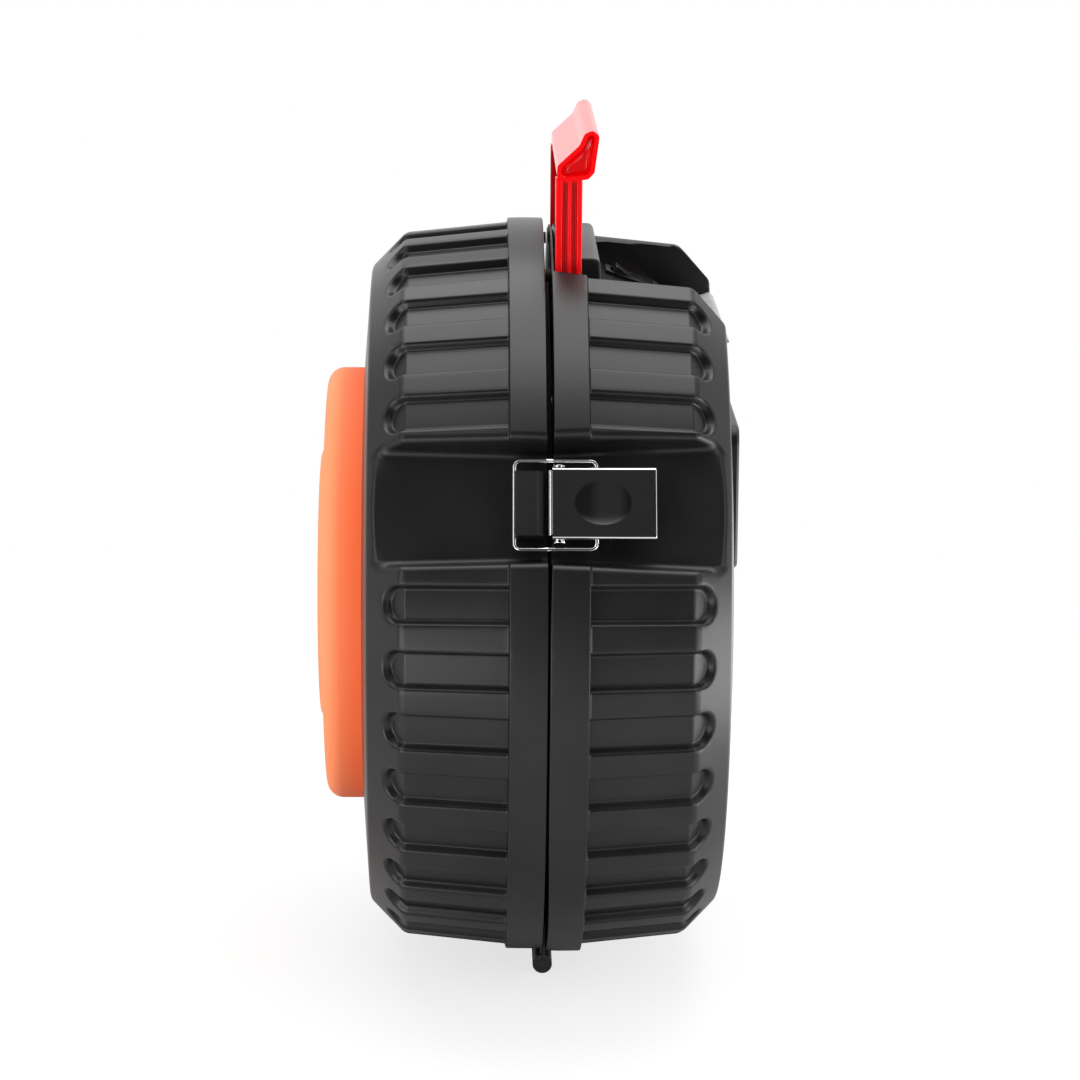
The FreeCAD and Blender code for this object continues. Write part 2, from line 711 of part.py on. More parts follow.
def hinge_leaf(power):
    side = 1 if power else -1
    near_x, far_x = sorted((side * (seam_half - leaf_thick), side * seam_half))
    shy = 0.2
    top_z = -132.5
    plate_foot = hinge_z + knuckle_r + 0.5
    plate = along_x([(-hinge_half, plate_foot), (hinge_half, plate_foot),
                     (hinge_half, top_z, 3.0), (-hinge_half, top_z, 3.0)], near_x, far_x)
    pieces = [plate]
    for start, end in knuckle_spans(power):
        inner_start = start + (0 if start == -hinge_half else shy)
        inner_end = end - (0 if end == hinge_half else shy)
        pieces.append(rod(knuckle_r, Vector(0, inner_start, hinge_z), Vector(0, inner_end, hinge_z)))
        pieces.append(block((near_x, far_x), (inner_start, inner_end), (hinge_z, plate_foot + 1)))
    leaf = fused(pieces)
    bore_r = hinge_pin_r if power else hinge_pin_r + running_gap
    bore = rod(bore_r, Vector(0, -hinge_half - 1, hinge_z), Vector(0, hinge_half + 1, hinge_z))
    return leaf.cut([bore] + hinge_holes())


def hinge_pin():
    return rod(hinge_pin_r, Vector(0, -hinge_half - 0.6, hinge_z), Vector(0, hinge_half + 0.6, hinge_z))


def hinge_leaf_rivets(power):
    side = 1 if power else -1
    seat = flange_x + ledge_thick if power else flange_x
    shank = seat - seam_half + leaf_thick - 0.1
    return Part.makeCompound([headed(Vector(side * seat, y, hinge_rivet_z), -x_axis * side, shank,
                                     hinge_rivet_r, 2.8, 1.2) for y in hinge_rivets])


# Draw latches, drawn in latch coordinates
def latch_base():
    plate = along_z(rounded_rect((3.6, 24.4), (-12.4, 12.4), 1.5), 0, 1.2)
    top_h = pivot_h + 2.0
    ear = [(3.6, 0.5), (9.5, 0.5), (pivot_x + 2.0, top_h, 1.9), (pivot_x - 2.0, top_h, 1.9),
           (pivot_x - 1.9, 6.2), (3.6, 4.8)]
    ears = [along_y(ear, start, start + 1.2) for start in (-12.4, 11.2)]
    base = fused([plate] + ears)
    pin = rod(lever_pin_r, Vector(pivot_x, -20, pivot_h), Vector(pivot_x, 20, pivot_h))
    holes = [rod(latch_rivet_r, Vector(x, t, -1), Vector(x, t, 3)) for x, t in base_rivets]
    return onto_land(base.cut([pin] + holes))


lever_pin_r = 1.45


def lever_pin():
    def on_axis(t):
        return Vector(pivot_x, t, pivot_h)
    pin = rod(lever_pin_r, on_axis(-lever_half - 0.5), on_axis(lever_half + 0.5))
    heads = [capped_rod(2.5, on_axis(side * (lever_half + 0.3)), on_axis(side * (lever_half + 1.3)), 0.5)
             for side in (-1, 1)]
    return onto_land(fused([pin] + heads))


def rivet_group(spots, seat, direction, shank):
    rivets = [headed(Vector(x, t, seat), direction, shank, latch_rivet_r, 2.8, 1.1) for x, t in spots]
    return onto_land(Part.makeCompound(rivets))


def latch_lever():
    skin = 1.2
    top_h = 11.4
    half, inner = lever_half, lever_half - skin
    start_x = 1.0
    channel = along_x([(-half, 3.0), (-half, top_h, 1.4), (half, top_h, 1.4), (half, 3.0), (inner, 3.0),
                       (inner, top_h - skin, 0.4), (-inner, top_h - skin, 0.4), (-inner, 3.0)],
                      start_x, lever_end_x)
    side_view = [(start_x - 1, 9.0), (1.4, 5.4), (6.0, 5.4, 1.0), (8.0, 6.6, 1.0), (13.4, 6.6, 1.0),
                 (15.6, 4.6, 1.0), (20.2, 4.6, 1.5), (23.0, 8.4, 2.0), (lever_end_x, 9.0),
                 (lever_end_x, 13.0), (start_x - 1, 13.0)]
    lever = channel.common(along_y(side_view, -20, 20))
    nose_half = 12.6
    nose = rod(1.3, Vector(0.6, -nose_half, 9.9), Vector(0.6, nose_half, 9.9))
    lip = block((lever_end_x - skin, lever_end_x), (-inner, inner), (9.0, top_h - 0.5))
    lever = fused([lever, nose, lip])
    holes = [rod(lever_pin_r + running_gap, Vector(pivot_x, -20, pivot_h), Vector(pivot_x, 20, pivot_h)),
             rod(wire_r + running_gap, Vector(bail_x, -20, bail_h), Vector(bail_x, 20, bail_h))]
    return onto_land(lever.cut(holes))


def latch_bail():
    bend = 2.4
    inner_t = lever_half - 1.8
    corners = [(bail_x, inner_t), (bail_x, bail_half), (bar_x, bail_half), (bar_x, -bail_half),
               (bail_x, -bail_half), (bail_x, -inner_t)]
    edges = []
    position = Vector(bail_x, inner_t, bail_h)
    for before, here, after in zip(corners, corners[1:], corners[2:]):
        start, end, middle = corner_points(here + (bend,), before, after, lambda u, v: Vector(u, v, bail_h))
        edges.append(Part.LineSegment(position, start).toShape())
        edges.append(Part.Arc(start, middle, end).toShape())
        position = end
    edges.append(Part.LineSegment(position, Vector(bail_x, -inner_t, bail_h)).toShape())
    section = Part.Wire(Part.makeCircle(wire_r, Vector(bail_x, inner_t, bail_h), y_axis))
    wire = Part.Wire(edges).makePipeShell([section], True, False)
    return onto_land(wire)


strike_shank = 6.0


def latch_strike():
    # the bar of the bail lies under the lip on its outer face; riveted from inside the lid
    corners = [(-2.2, 0), (-2.2, 8.6, 1.2), (-4.6, 10.6, 1.2), (-13.2, 10.6, 0.5), (-13.2, 9.4, 0.4),
               (-12.2, 8.4, 0.5), (-12.2, 0)]
    strike = along_y(corners, -12.5, 12.5)
    return onto_land(strike.cut([rod(latch_rivet_r, Vector(x, t, -1), Vector(x, t, strike_shank))
                                 for x, t in strike_rivets]))


def far(shape):
    return shape.mirror(origin, y_axis)


def build():
    base, pin, lever, bail, strike = latch_base(), lever_pin(), latch_lever(), latch_bail(), latch_strike()
    base_rivet_set = rivet_group(base_rivets, 1.2, -z_axis, 1.2 + land_wall)
    strike_rivet_set = rivet_group(strike_rivets, -land_wall, z_axis, land_wall + strike_shank)
    outputs = output_places()
    return {
        "power_shell": power_shell(),
        "storage_shell": storage_shell(),
        "hub_cover": hub_cover(),
        "hub_screws": hub_screws(),
        "console_panel": console_panel(),
        "switch_bezel": switch_bezel(),
        "power_rocker": power_rocker(),
        "test_button": test_button(),
        "charge_lamps": charge_lamps(),
        "accessory_socket": accessory_socket(),
        "shoulder_plate": shoulder_plate(),
        "handle_block": handle_block(),
        "handle_pins": handle_pins(),
        "carry_handle": carry_handle(),
        "face_plate": face_plate(),
        "inner_deck": inner_deck(),
        "deck_screws": deck_screws(),
        "output_socket_negative": output_socket(outputs[0]),
        "output_socket_positive": output_socket(outputs[1]),
        "seal_gasket": seal_gasket(),
        "rim_buffers": rim_buffers(),
        "battery": battery(),
        "battery_terminals": battery_terminals(),
        "busbar_negative": busbar(-1),
        "busbar_positive": busbar(1),
        "battery_strap": battery_strap(),
        "strap_screws": strap_screws(),
        "control_board": control_board(),
        "board_components": board_components(),
        "board_screws": board_screws(),
        "hinge_leaf_power": hinge_leaf(True),
        "hinge_leaf_storage": hinge_leaf(False),
        "hinge_pin": hinge_pin(),
        "hinge_rivets_power": hinge_leaf_rivets(True),
        "hinge_rivets_storage": hinge_leaf_rivets(False),
        "latch_base_near": base,
        "latch_base_far": far(base),
        "lever_pin_near": pin,
        "lever_pin_far": far(pin),
        "base_rivets_near": base_rivet_set,
        "base_rivets_far": far(base_rivet_set),
        "latch_lever_near": lever,
        "latch_lever_far": far(lever),
        "latch_bail_near": bail,
        "latch_bail_far": far(bail),
        "latch_strike_near": strike,
        "latch_strike_far": far(strike),
        "strike_rivets_near": strike_rivet_set,
        "strike_rivets_far": far(strike_rivet_set),
    }


def save(shapes):
    os.makedirs("parts", exist_ok=True)
    for name, shape in shapes.items():
        shape.translate(case_shift)
        shape.exportStep(f"parts/{name}.step")
        print(f"{name}: {len(shape.Solids)} solids, valid {shape.isValid()}, {shape.Volume / 1000:.2f} cm3")


save(build())
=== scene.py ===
import math

import bmesh
import bpy
import numpy as np
from mathutils import Matrix, Vector


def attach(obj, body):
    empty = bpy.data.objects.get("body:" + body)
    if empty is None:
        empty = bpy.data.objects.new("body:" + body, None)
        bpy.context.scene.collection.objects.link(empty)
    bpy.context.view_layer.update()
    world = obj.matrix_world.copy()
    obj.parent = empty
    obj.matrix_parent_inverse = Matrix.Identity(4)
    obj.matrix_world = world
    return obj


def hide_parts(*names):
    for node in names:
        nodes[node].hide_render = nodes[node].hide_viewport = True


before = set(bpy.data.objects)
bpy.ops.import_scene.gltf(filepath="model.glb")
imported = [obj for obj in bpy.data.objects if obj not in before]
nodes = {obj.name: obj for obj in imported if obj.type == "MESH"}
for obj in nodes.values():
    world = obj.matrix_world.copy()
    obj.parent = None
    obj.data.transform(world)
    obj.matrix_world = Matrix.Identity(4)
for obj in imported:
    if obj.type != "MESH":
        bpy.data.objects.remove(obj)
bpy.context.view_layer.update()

mm = 0.001
axisX, axisZ = 7.5, 156.2        # parting plane and height of the wheel's axis, in mm
weldReach, flatAngle = 2e-7, 0.2        # m and degrees: what counts as one point and as one flat face
print("frame loaded")


class Value:
    # a node's output that takes part in plain sums
    def __init__(self, paint, socket):
        self.paint, self.socket = paint, socket

    def math(self, operation, first, second=0.0):
        return self.paint.add("Math", {"operation": operation}, {0: first, 1: second})

    def __add__(self, other):
        return self.math("ADD", self, other)

    __radd__ = __add__

    def __sub__(self, other):
        return self.math("SUBTRACT", self, other)

    def __rsub__(self, other):
        return self.math("SUBTRACT", other, self)

    def __mul__(self, other):
        return self.math("MULTIPLY", self, other)

    __rmul__ = __mul__

    def __abs__(self):
        return self.math("ABSOLUTE", self)

    def ramp(self, low, high, fromValue=0.0, toValue=1.0):
        return self.paint.add("MapRange", {"interpolation_type": "SMOOTHSTEP"},
                              {0: self, 1: low, 2: high, 3: fromValue, 4: toValue})


class Paint:
    # one material with its nodes, or the world's own nodes
    def __init__(self, name="", tree=None, **constants):
        if tree:
            self.tree = tree
            return
        self.material = bpy.data.materials.new(name)
        self.material.use_nodes = True
        self.tree = self.material.node_tree
        self.surface = self.tree.nodes["Principled BSDF"]
        self.set(**constants)

    def add(self, kind, settings=None, sockets=None, output=0):
        node = self.tree.nodes.new("ShaderNode" + kind)
        for key, value in (settings or {}).items():
            setattr(node, key, value)
        for key, value in (sockets or {}).items():
            self.feed(node.inputs[key], value)
        return Value(self, node.outputs[output])

    def feed(self, socket, value):
        if isinstance(value, Value):
            self.tree.links.new(value.socket, socket)
        else:
            socket.default_value = value

    def set(self, **sockets):
        for name, value in sockets.items():
            self.feed(self.surface.inputs[name.replace("_", " ")], value)

    def spot(self):
        return self.add("TexCoord", output="Object")

    def place(self, stretch=(1, 1, 1)):
        return self.add("VectorMath", {"operation": "MULTIPLY"}, {0: self.spot(), 1: stretch})

    def axis(self, name, vector=None):
        return self.add("SeparateXYZ", {}, {0: vector or self.spot()}, output=name)

    def noise(self, scale, detail, stretch=(1, 1, 1)):
        return self.add("TexNoise", {}, {"Vector": self.place(stretch), "Scale": scale, "Detail": detail})

    def blend(self, factor, first, second):
        # the colours of a Mix node are its sockets 6 and 7, and its colour output is the third
        return self.add("Mix", {"data_type": "RGBA"}, {0: factor, 6: first, 7: second}, output=2)

    def bump(self, height, distance):
        return self.add("Bump", {}, {"Height": height, "Distance": distance})


def grey(level):
    return (level, level, level, 1.0)


def darker(colour, share):
    return tuple(c * share for c in colour[:3]) + (1,)


# moulded plastics: darker and lighter colour, roughness, gloss
plastics = dict(
    shellBlack=(grey(0.0055), grey(0.0085), 0.34, 0.42),
    trimBlack=(grey(0.006), grey(0.010), 0.38, 0.42),
    deckBlack=(grey(0.010), grey(0.015), 0.45, 0.42),
    trimGrey=(grey(0.32), grey(0.37), 0.5, 0.2),
    consoleBlack=(grey(0.0022), grey(0.0035), 0.6, 0.05),
    batteryBlue=((0.012, 0.016, 0.03, 1), (0.02, 0.026, 0.045, 1), 0.35, 0.42),
)
plasticSkin = dict(cloudScale=38, sweepScale=9, sweepStretch=(0.3, 1, 1), contrast=(0.3, 0.7),
                   grainScale=2600, sweepRough=0.10, grainRough=0.06, cloudHeight=0.6, depth=0.00003)


def mouldedPlastic(name, dark, light, rough, gloss):
    look = plasticSkin
    paint = Paint(name, Specular_IOR_Level=gloss)
    cloudy = paint.noise(look["cloudScale"], 3)
    grain = paint.noise(look["grainScale"], 2)
    sweep = paint.noise(look["sweepScale"], 2, look["sweepStretch"])
    uneven = sweep.ramp(*look["contrast"]) * look["sweepRough"] + grain * look["grainRough"]
    paint.set(Base_Color=paint.blend(cloudy.ramp(*look["contrast"]), dark, light),
              Roughness=uneven + (rough - (look["sweepRough"] + look["grainRough"]) / 2),
              Normal=paint.bump(grain + cloudy * look["cloudHeight"], look["depth"]))
    return paint.material


rubber = dict(dark=grey(0.008), light=grey(0.016), gloss=0.3, poreScale=1800, rough=(0.62, 0.15),
              depth=0.00004)


def sealRubber():
    paint = Paint("sealRubber", Specular_IOR_Level=rubber["gloss"])
    pores = paint.noise(rubber["poreScale"], 3)
    least, more = rubber["rough"]
    paint.set(Base_Color=paint.blend(pores, rubber["dark"], rubber["light"]), Roughness=pores * more + least,
              Normal=paint.bump(pores, rubber["depth"]))
    return paint.material


red = dict(
    # the groove colour is painted shade, a darker red for the arms' grooves
    light=(1.0, 0.0, 0.003, 1), deep=(0.80, 0.0, 0.002, 1), paintedGrooveShade=(0.42, 0.0, 0.001, 1),
    gloss=0.45, coatRough=0.06, glow=0.12, glowDepth=0.004, glowColour=(1.0, 0.25, 0.15),
    flowScale=22, flowStretch=(1, 0.25, 1), contrast=(0.35, 0.65), rough=(0.14, 0.08), coat=(0.15, 0.2),
    skinScale=900, skinDepth=0.00001,
    grooveShadeY=(0.0528, 0.0538), grooveShadeTop=(0.328, 0.3300),      # the arms' outer faces, up to the grip, in m
)


def redGloss():
    paint = Paint("handleRed", Specular_IOR_Level=red["gloss"], Coat_Roughness=red["coatRough"],
                  Subsurface_Weight=red["glow"], Subsurface_Scale=red["glowDepth"],
                  Subsurface_Radius=red["glowColour"])
    flow = paint.noise(red["flowScale"], 2, red["flowStretch"])
    fine = paint.noise(red["skinScale"], 1)
    # painted shade: the arms' grooves are painted a darker red than their ribs
    onArm = paint.axis("Z").ramp(*red["grooveShadeTop"], 1.0, 0.0)
    paintedGrooveShade = abs(paint.axis("Y")).ramp(*red["grooveShadeY"], 1.0, 0.0) * onArm
    colour = paint.blend(flow.ramp(*red["contrast"]), red["deep"], red["light"])
    paint.set(Base_Color=paint.blend(paintedGrooveShade, colour, red["paintedGrooveShade"]),
              Roughness=flow * red["rough"][1] + red["rough"][0],
              Coat_Weight=flow * red["coat"][1] + red["coat"][0],
              Normal=paint.bump(fine, red["skinDepth"]))
    return paint.material


hub = dict(
    deep=(1.0, 0.155, 0.045, 1), pale=(1.0, 0.30, 0.13, 1), gloss=0.25,
    # the deeper orange beside the case is painted shade
    outerX=-0.0905, innerX=-0.0735,          # pale outside, deep beside the case, in m from the parting plane
    lineScale=260.0, lineWaver=0.4, dustScale=700, rough=(0.55, 0.12), share=(0.6, 0.4), depth=0.00004,
)


def orangeMatte():
    paint = Paint("hubOrange", Specular_IOR_Level=hub["gloss"])
    # painted shade: the orange gets darker towards the case half it sits on
    shadeTowardCase = paint.axis("X").ramp(axisX * mm + hub["outerX"], axisX * mm + hub["innerX"])
    lines = paint.add("TexWave", {"bands_direction": "Z"},
                      {"Vector": paint.place(), "Scale": hub["lineScale"], "Distortion": hub["lineWaver"],
                       "Detail": 1.0})
    dust = paint.noise(hub["dustScale"], 2)
    paint.set(Base_Color=paint.blend(shadeTowardCase, hub["pale"], hub["deep"]),
              Roughness=dust * hub["rough"][1] + hub["rough"][0],
              Normal=paint.bump(lines * hub["share"][0] + dust * hub["share"][1], hub["depth"]))
    return paint.material


# brushed metals: colour, roughness, depth of the scratches
metals = dict(
    zincSteel=((0.62, 0.62, 0.64, 1), 0.28, 0.00001),
    plugBrass=((0.80, 0.67, 0.40, 1), 0.2, 0.00001),
    chromeSatin=(grey(0.42), 0.26, 0.000005),
)
brush = dict(scale=90, stretch=(1, 30, 1), dark=0.86, rough=0.12)


def brushedMetal(name, colour, rough, depth):
    paint = Paint(name, Metallic=1.0)
    lines = paint.noise(brush["scale"], 3, brush["stretch"])
    paint.set(Base_Color=paint.blend(lines, darker(colour, brush["dark"]), colour),
              Roughness=lines * brush["rough"] + rough, Normal=paint.bump(lines, depth))
    return paint.material


plating = dict(bright=0.86, dull=0.95, hazeScale=60, rough=(0.05, 0.06))


def brightChrome():
    paint = Paint("chromeBright", Metallic=1.0)
    haze = paint.noise(plating["hazeScale"], 3)
    bright = grey(plating["bright"])
    paint.set(Base_Color=paint.blend(haze, darker(bright, plating["dull"]), bright),
              Roughness=haze * plating["rough"][1] + plating["rough"][0])
    return paint.material


# lacquered and glassy surfaces: colour and roughness
lacquers = dict(
    hingeBlack=(grey(0.012), 0.32),
    switchBlack=(grey(0.010), 0.22),
    boardGreen=((0.01, 0.12, 0.045, 1), 0.3),
    chipBlack=(grey(0.01), 0.4),
    lensGreen=((0.08, 0.5, 0.14, 1), 0.1),
)
peel = dict(gloss=0.5, scale=500, dark=0.8, rough=0.1, depth=0.00003)


def lacquer(name, colour, rough):
    paint = Paint(name, Specular_IOR_Level=peel["gloss"])
    ripple = paint.noise(peel["scale"], 2)
    paint.set(Base_Color=paint.blend(ripple, colour, darker(colour, peel["dark"])),
              Roughness=ripple * peel["rough"] + rough, Normal=paint.bump(ripple, peel["depth"]))
    return paint.material


materials = {name: mouldedPlastic(name, *look) for name, look in plastics.items()}
materials.update({name: brushedMetal(name, *look) for name, look in metals.items()})
materials.update({name: lacquer(name, *look) for name, look in lacquers.items()})
materials.update(sealRubber=sealRubber(), handleRed=redGloss(), hubOrange=orangeMatte(),
                 chromeBright=brightChrome())

finishes = dict(
    shellBlack=["power_shell", "storage_shell"],
    trimBlack=["switch_bezel", "test_button", "accessory_socket", "handle_block", "face_plate",
               "latch_strike_near", "latch_strike_far"],
    consoleBlack=["console_panel"],
    deckBlack=["inner_deck"],
    trimGrey=["shoulder_plate"],
    sealRubber=["seal_gasket", "rim_buffers"],
    handleRed=["carry_handle"],
    hubOrange=["hub_cover"],
    zincSteel=["hub_screws", "handle_pins", "deck_screws", "battery_strap", "strap_screws", "board_screws",
               "hinge_rivets_power", "hinge_rivets_storage", "latch_base_near", "latch_base_far",
               "base_rivets_near", "base_rivets_far", "strike_rivets_near", "strike_rivets_far"],
    plugBrass=["output_socket_negative", "output_socket_positive", "battery_terminals", "busbar_negative",
               "busbar_positive"],
    chromeBright=["latch_lever_near", "latch_lever_far", "latch_bail_near", "latch_bail_far",
                  "lever_pin_near", "lever_pin_far"],
    hingeBlack=["hinge_leaf_power", "hinge_leaf_storage", "hinge_pin"],
    switchBlack=["power_rocker"],
    lensGreen=["charge_lamps"],
    batteryBlue=["battery"],
    boardGreen=["control_board"],
    chipBlack=["board_components"],
)
for finish, names in finishes.items():
    for name in names:
        nodes[name].data.materials.clear()
        nodes[name].data.materials.append(materials[finish])
print("finishes set")

# the moulded case halves, in mm: x out from the parting plane, r from the wheel's axis
case = dict(
    seamHalf=1.1, seamEnd=1.85,
    seamHeight=-20.0, seamFlat=25.0, seamRun=80.0,      # the latches draw the rims in
    bandEdge=15.2, bandBevel=0.4, bandCrown=0.14, bandStep=0.2,
    treadR=148.3, treadEnd=(56.5, 144.0), shoulder=(70.0, 130.0), faceX=72.4, faceFlatR=98.0,
    treadRound=1.12, shoulderRound=0.8,            # how far each corner is blended away
    fluteEvery=10, fluteHalf=6.1, fluteDepth=3.3, fluteDraft=0.42, fluteEndX=63.3,
    fluteFoot=0.8, fluteLip=1.7, fluteFar=20,
    landR=132.8, landAngle=25.5, landDraft=0.2, landFoot=2.5, landLip=2.9, landEnd=0.8, pocketReach=11.2,
    recessHalf=55.0, recessLip=1.2, recessR=124.5, leadZ=134.5, leadHalf=(54.3, 58.5), leadSlope=0.9,
)
halves = dict(
    storage=dict(node="storage_shell", body="storage_lid", side=-1, rimR=150.0, land=(20.9, 22.6),
                 plain=(20, 30, 150, 160), seam=(-0.5, -0.5, 0.0)),
    power=dict(node="power_shell", body="power_half", side=1, rimR=151.0, land=(21.6, 24.6),
               plain=(20, 30, 80, 90, 100, 150, 160), seam=(0.15, -0.9, 0.5)),
)
# where the outer skin has its rows and columns, in mm, closest where it bends
rows = dict(
    hair=0.05, behindSeam=0.5, crownCount=9, crownInset=1.6, cornerInset=1.2,
    bandFoot=(0.18, 0.4, 0.9), bandFootRise=(0.45, 0.12, 0.0), bandFootR=0.9,
    tread=(3, 53, 4.5), treadBend=(53.4, 59, 0.55),
    shoulderStart=0.02, shoulderCount=52,
    faceDrops=(0.5, 1.0, 1.6, 2.3, 3.2, 5, 8, 14, 22, 32), faceLean=0.075,
)
columns = dict(
    flute=(0, 1.2, 2.4, 3.4, 4.2, 4.9, 5.5, 5.9, 6.2, 6.5, 6.8, 7.1, 7.4, 7.7, 8.0, 8.3, 9.4, 11.0),
    plain=(0, 3, 6, 9), middleR=146.0, least=0.05,
    recessSides=(63.3, 111.0), recessRun=5.7, recessStep=0.16,     # degrees
    pocketCounts=(5, 6, 14, 8, 3), wallStart=2.7, leastRise=2.0, lipReach=3.0, shares=(0.45, 0.75),
    straightX=48, flatDrop=9, lipInside=(2.0, 4.0),
)


def roundJoin(first, second, blend):
    # where two half spaces meet, their edge blended over a distance
    over = np.hypot(np.maximum(first + blend, 0), np.maximum(second + blend, 0))
    return np.minimum(-blend, np.maximum(first, second)) + over


def roundedPath(corners, steps=5):
    # points (u, v) of an open path, each corner (u, v, radius) turned by an arc
    points = []
    for i, corner in enumerate(corners):
        here = np.array(corner[:2], float)
        if len(corner) < 3 or i in (0, len(corners) - 1):
            points.append(here)
            continue
        before, after = (np.array(corners[i + k][:2], float) - here for k in (-1, 1))
        before, after = before / np.linalg.norm(before), after / np.linalg.norm(after)
        half = math.acos(np.clip(before @ after, -1, 1)) / 2
        centre = here + (before + after) / np.linalg.norm(before + after) * corner[2] / math.sin(half)
        start, end = (here + way * corner[2] / math.tan(half) - centre for way in (before, after))
        turn = math.atan2(start[0] * end[1] - start[1] * end[0], start @ end)
        for k in range(steps + 1):
            c, s = math.cos(turn * k / steps), math.sin(turn * k / steps)
            points.append(centre + (start[0] * c - start[1] * s, start[0] * s + start[1] * c))
    return np.array(points)


def shoulderRun():
    # the direction of the shoulder, from the tread down to the face
    return np.subtract(case["shoulder"], case["treadEnd"]) / math.dist(case["shoulder"], case["treadEnd"])


def treadFall():
    return (case["treadR"] - case["treadEnd"][1]) / (case["treadEnd"][0] - case["bandEdge"])


def bodyField(x, r):
    # distance of a point beyond tread, shoulder and face, with both corners rounded
    run, fall = shoulderRun(), treadFall()
    tread = (r - case["treadR"] + fall * (x - case["bandEdge"])) / math.hypot(1, fall)
    slope = -(x - case["shoulder"][0]) * run[1] + (r - case["shoulder"][1]) * run[0]
    lean = (case["faceX"] - case["shoulder"][0]) / (case["shoulder"][1] - case["faceFlatR"])
    face = (x - case["shoulder"][0] - (case["shoulder"][1] - r) * lean) / math.hypot(1, lean)
    return roundJoin(roundJoin(tread, slope, case["treadRound"]), face, case["shoulderRound"])


def settle(field, points, freeze=None):
    # moves points (one row per coordinate) onto the field's zero surface
    rounds, step, haste, least = 8, 0.01, 0.9, 1e-9
    points = [np.array(p, float) for p in points]
    for _ in range(rounds):
        value = field(*points)
        slopes = []
        for k in range(len(points)):
            nudged = list(points)
            nudged[k] = points[k] + step
            slopes.append((field(*nudged) - value) / step)
        if freeze is not None:
            slopes[0] = np.where(freeze, 0.0, slopes[0])
        size = sum(s * s for s in slopes) + least
        points = [p - haste * value * s / size for p, s in zip(points, slopes)]
    return points


def profileRows(rimR):
    # rows (x, r) from the seam to the flat of the face, and how many of them belong to the band
    seam, edge, bevel, hair = case["seamHalf"], case["bandEdge"], case["bandBevel"], rows["hair"]
    band = roundedPath([(seam - rows["behindSeam"], rimR - bevel - 2 * hair), (seam, rimR - bevel - hair),
                        (seam + hair, rimR, bevel), (edge - 2 * hair, rimR, bevel),
                        (edge + 2 * hair, case["treadR"] + rows["bandFootR"])])
    crownX = np.linspace(seam + rows["crownInset"], edge - rows["crownInset"], rows["crownCount"])
    bandRows = np.array([p for p in band if p[0] <= seam + rows["cornerInset"]] + [(x, rimR) for x in crownX]
                        + [p for p in band if p[0] >= edge - rows["cornerInset"]])
    share = (bandRows[:, 0] - seam) * (edge - bandRows[:, 0]) / (0.25 * (edge - seam) ** 2)
    bandRows[:, 1] += case["bandCrown"] * np.clip(share, 0, 1)
    start, end, step = rows["tread"]
    xs = [edge + x for x in rows["bandFoot"]] + list(np.arange(edge + start, end, step))
    xs += list(np.arange(*rows["treadBend"]))
    main = [(x, case["treadR"] - treadFall() * (x - edge)) for x in xs if x <= case["treadEnd"][0]]
    ex, er = case["treadEnd"]
    sx, sr = case["shoulder"]
    main += [(ex + (sx - ex) * t, er + (sr - er) * t)
             for t in np.linspace(rows["shoulderStart"], 1, rows["shoulderCount"])]
    main += [(sx + rows["faceLean"] * drop, sr - drop) for drop in rows["faceDrops"]]
    x, r = settle(bodyField, np.array(main).T)
    r[:len(rows["bandFoot"])] += rows["bandFootRise"]
    return np.vstack([bandRows, np.column_stack([x, r])]), len(bandRows)


def fluteShare(profile, bandCount, lateral):
    # depth of the flute at each row and sideways distance from its middle
    ex, er = case["treadEnd"]
    run = shoulderRun()
    topHalf = case["fluteHalf"] + case["fluteDraft"] * case["fluteDepth"]
    middleX = case["fluteEndX"] - topHalf * run[0]
    middleR = er + (middleX - ex) * run[1] / run[0]
    past = np.maximum((profile[:, 0] - middleX) * run[0] + (profile[:, 1] - middleR) * run[1], 0)
    away = np.hypot(past[:, None], lateral)
    wall = roundedPath([(0, case["fluteDepth"]), (case["fluteHalf"], case["fluteDepth"], case["fluteFoot"]),
                        (topHalf, 0, case["fluteLip"]), (case["fluteFar"], 0)], 8)
    depth = np.interp(away, wall[:, 0], wall[:, 1])
    depth[:bandCount] = 0
    return depth


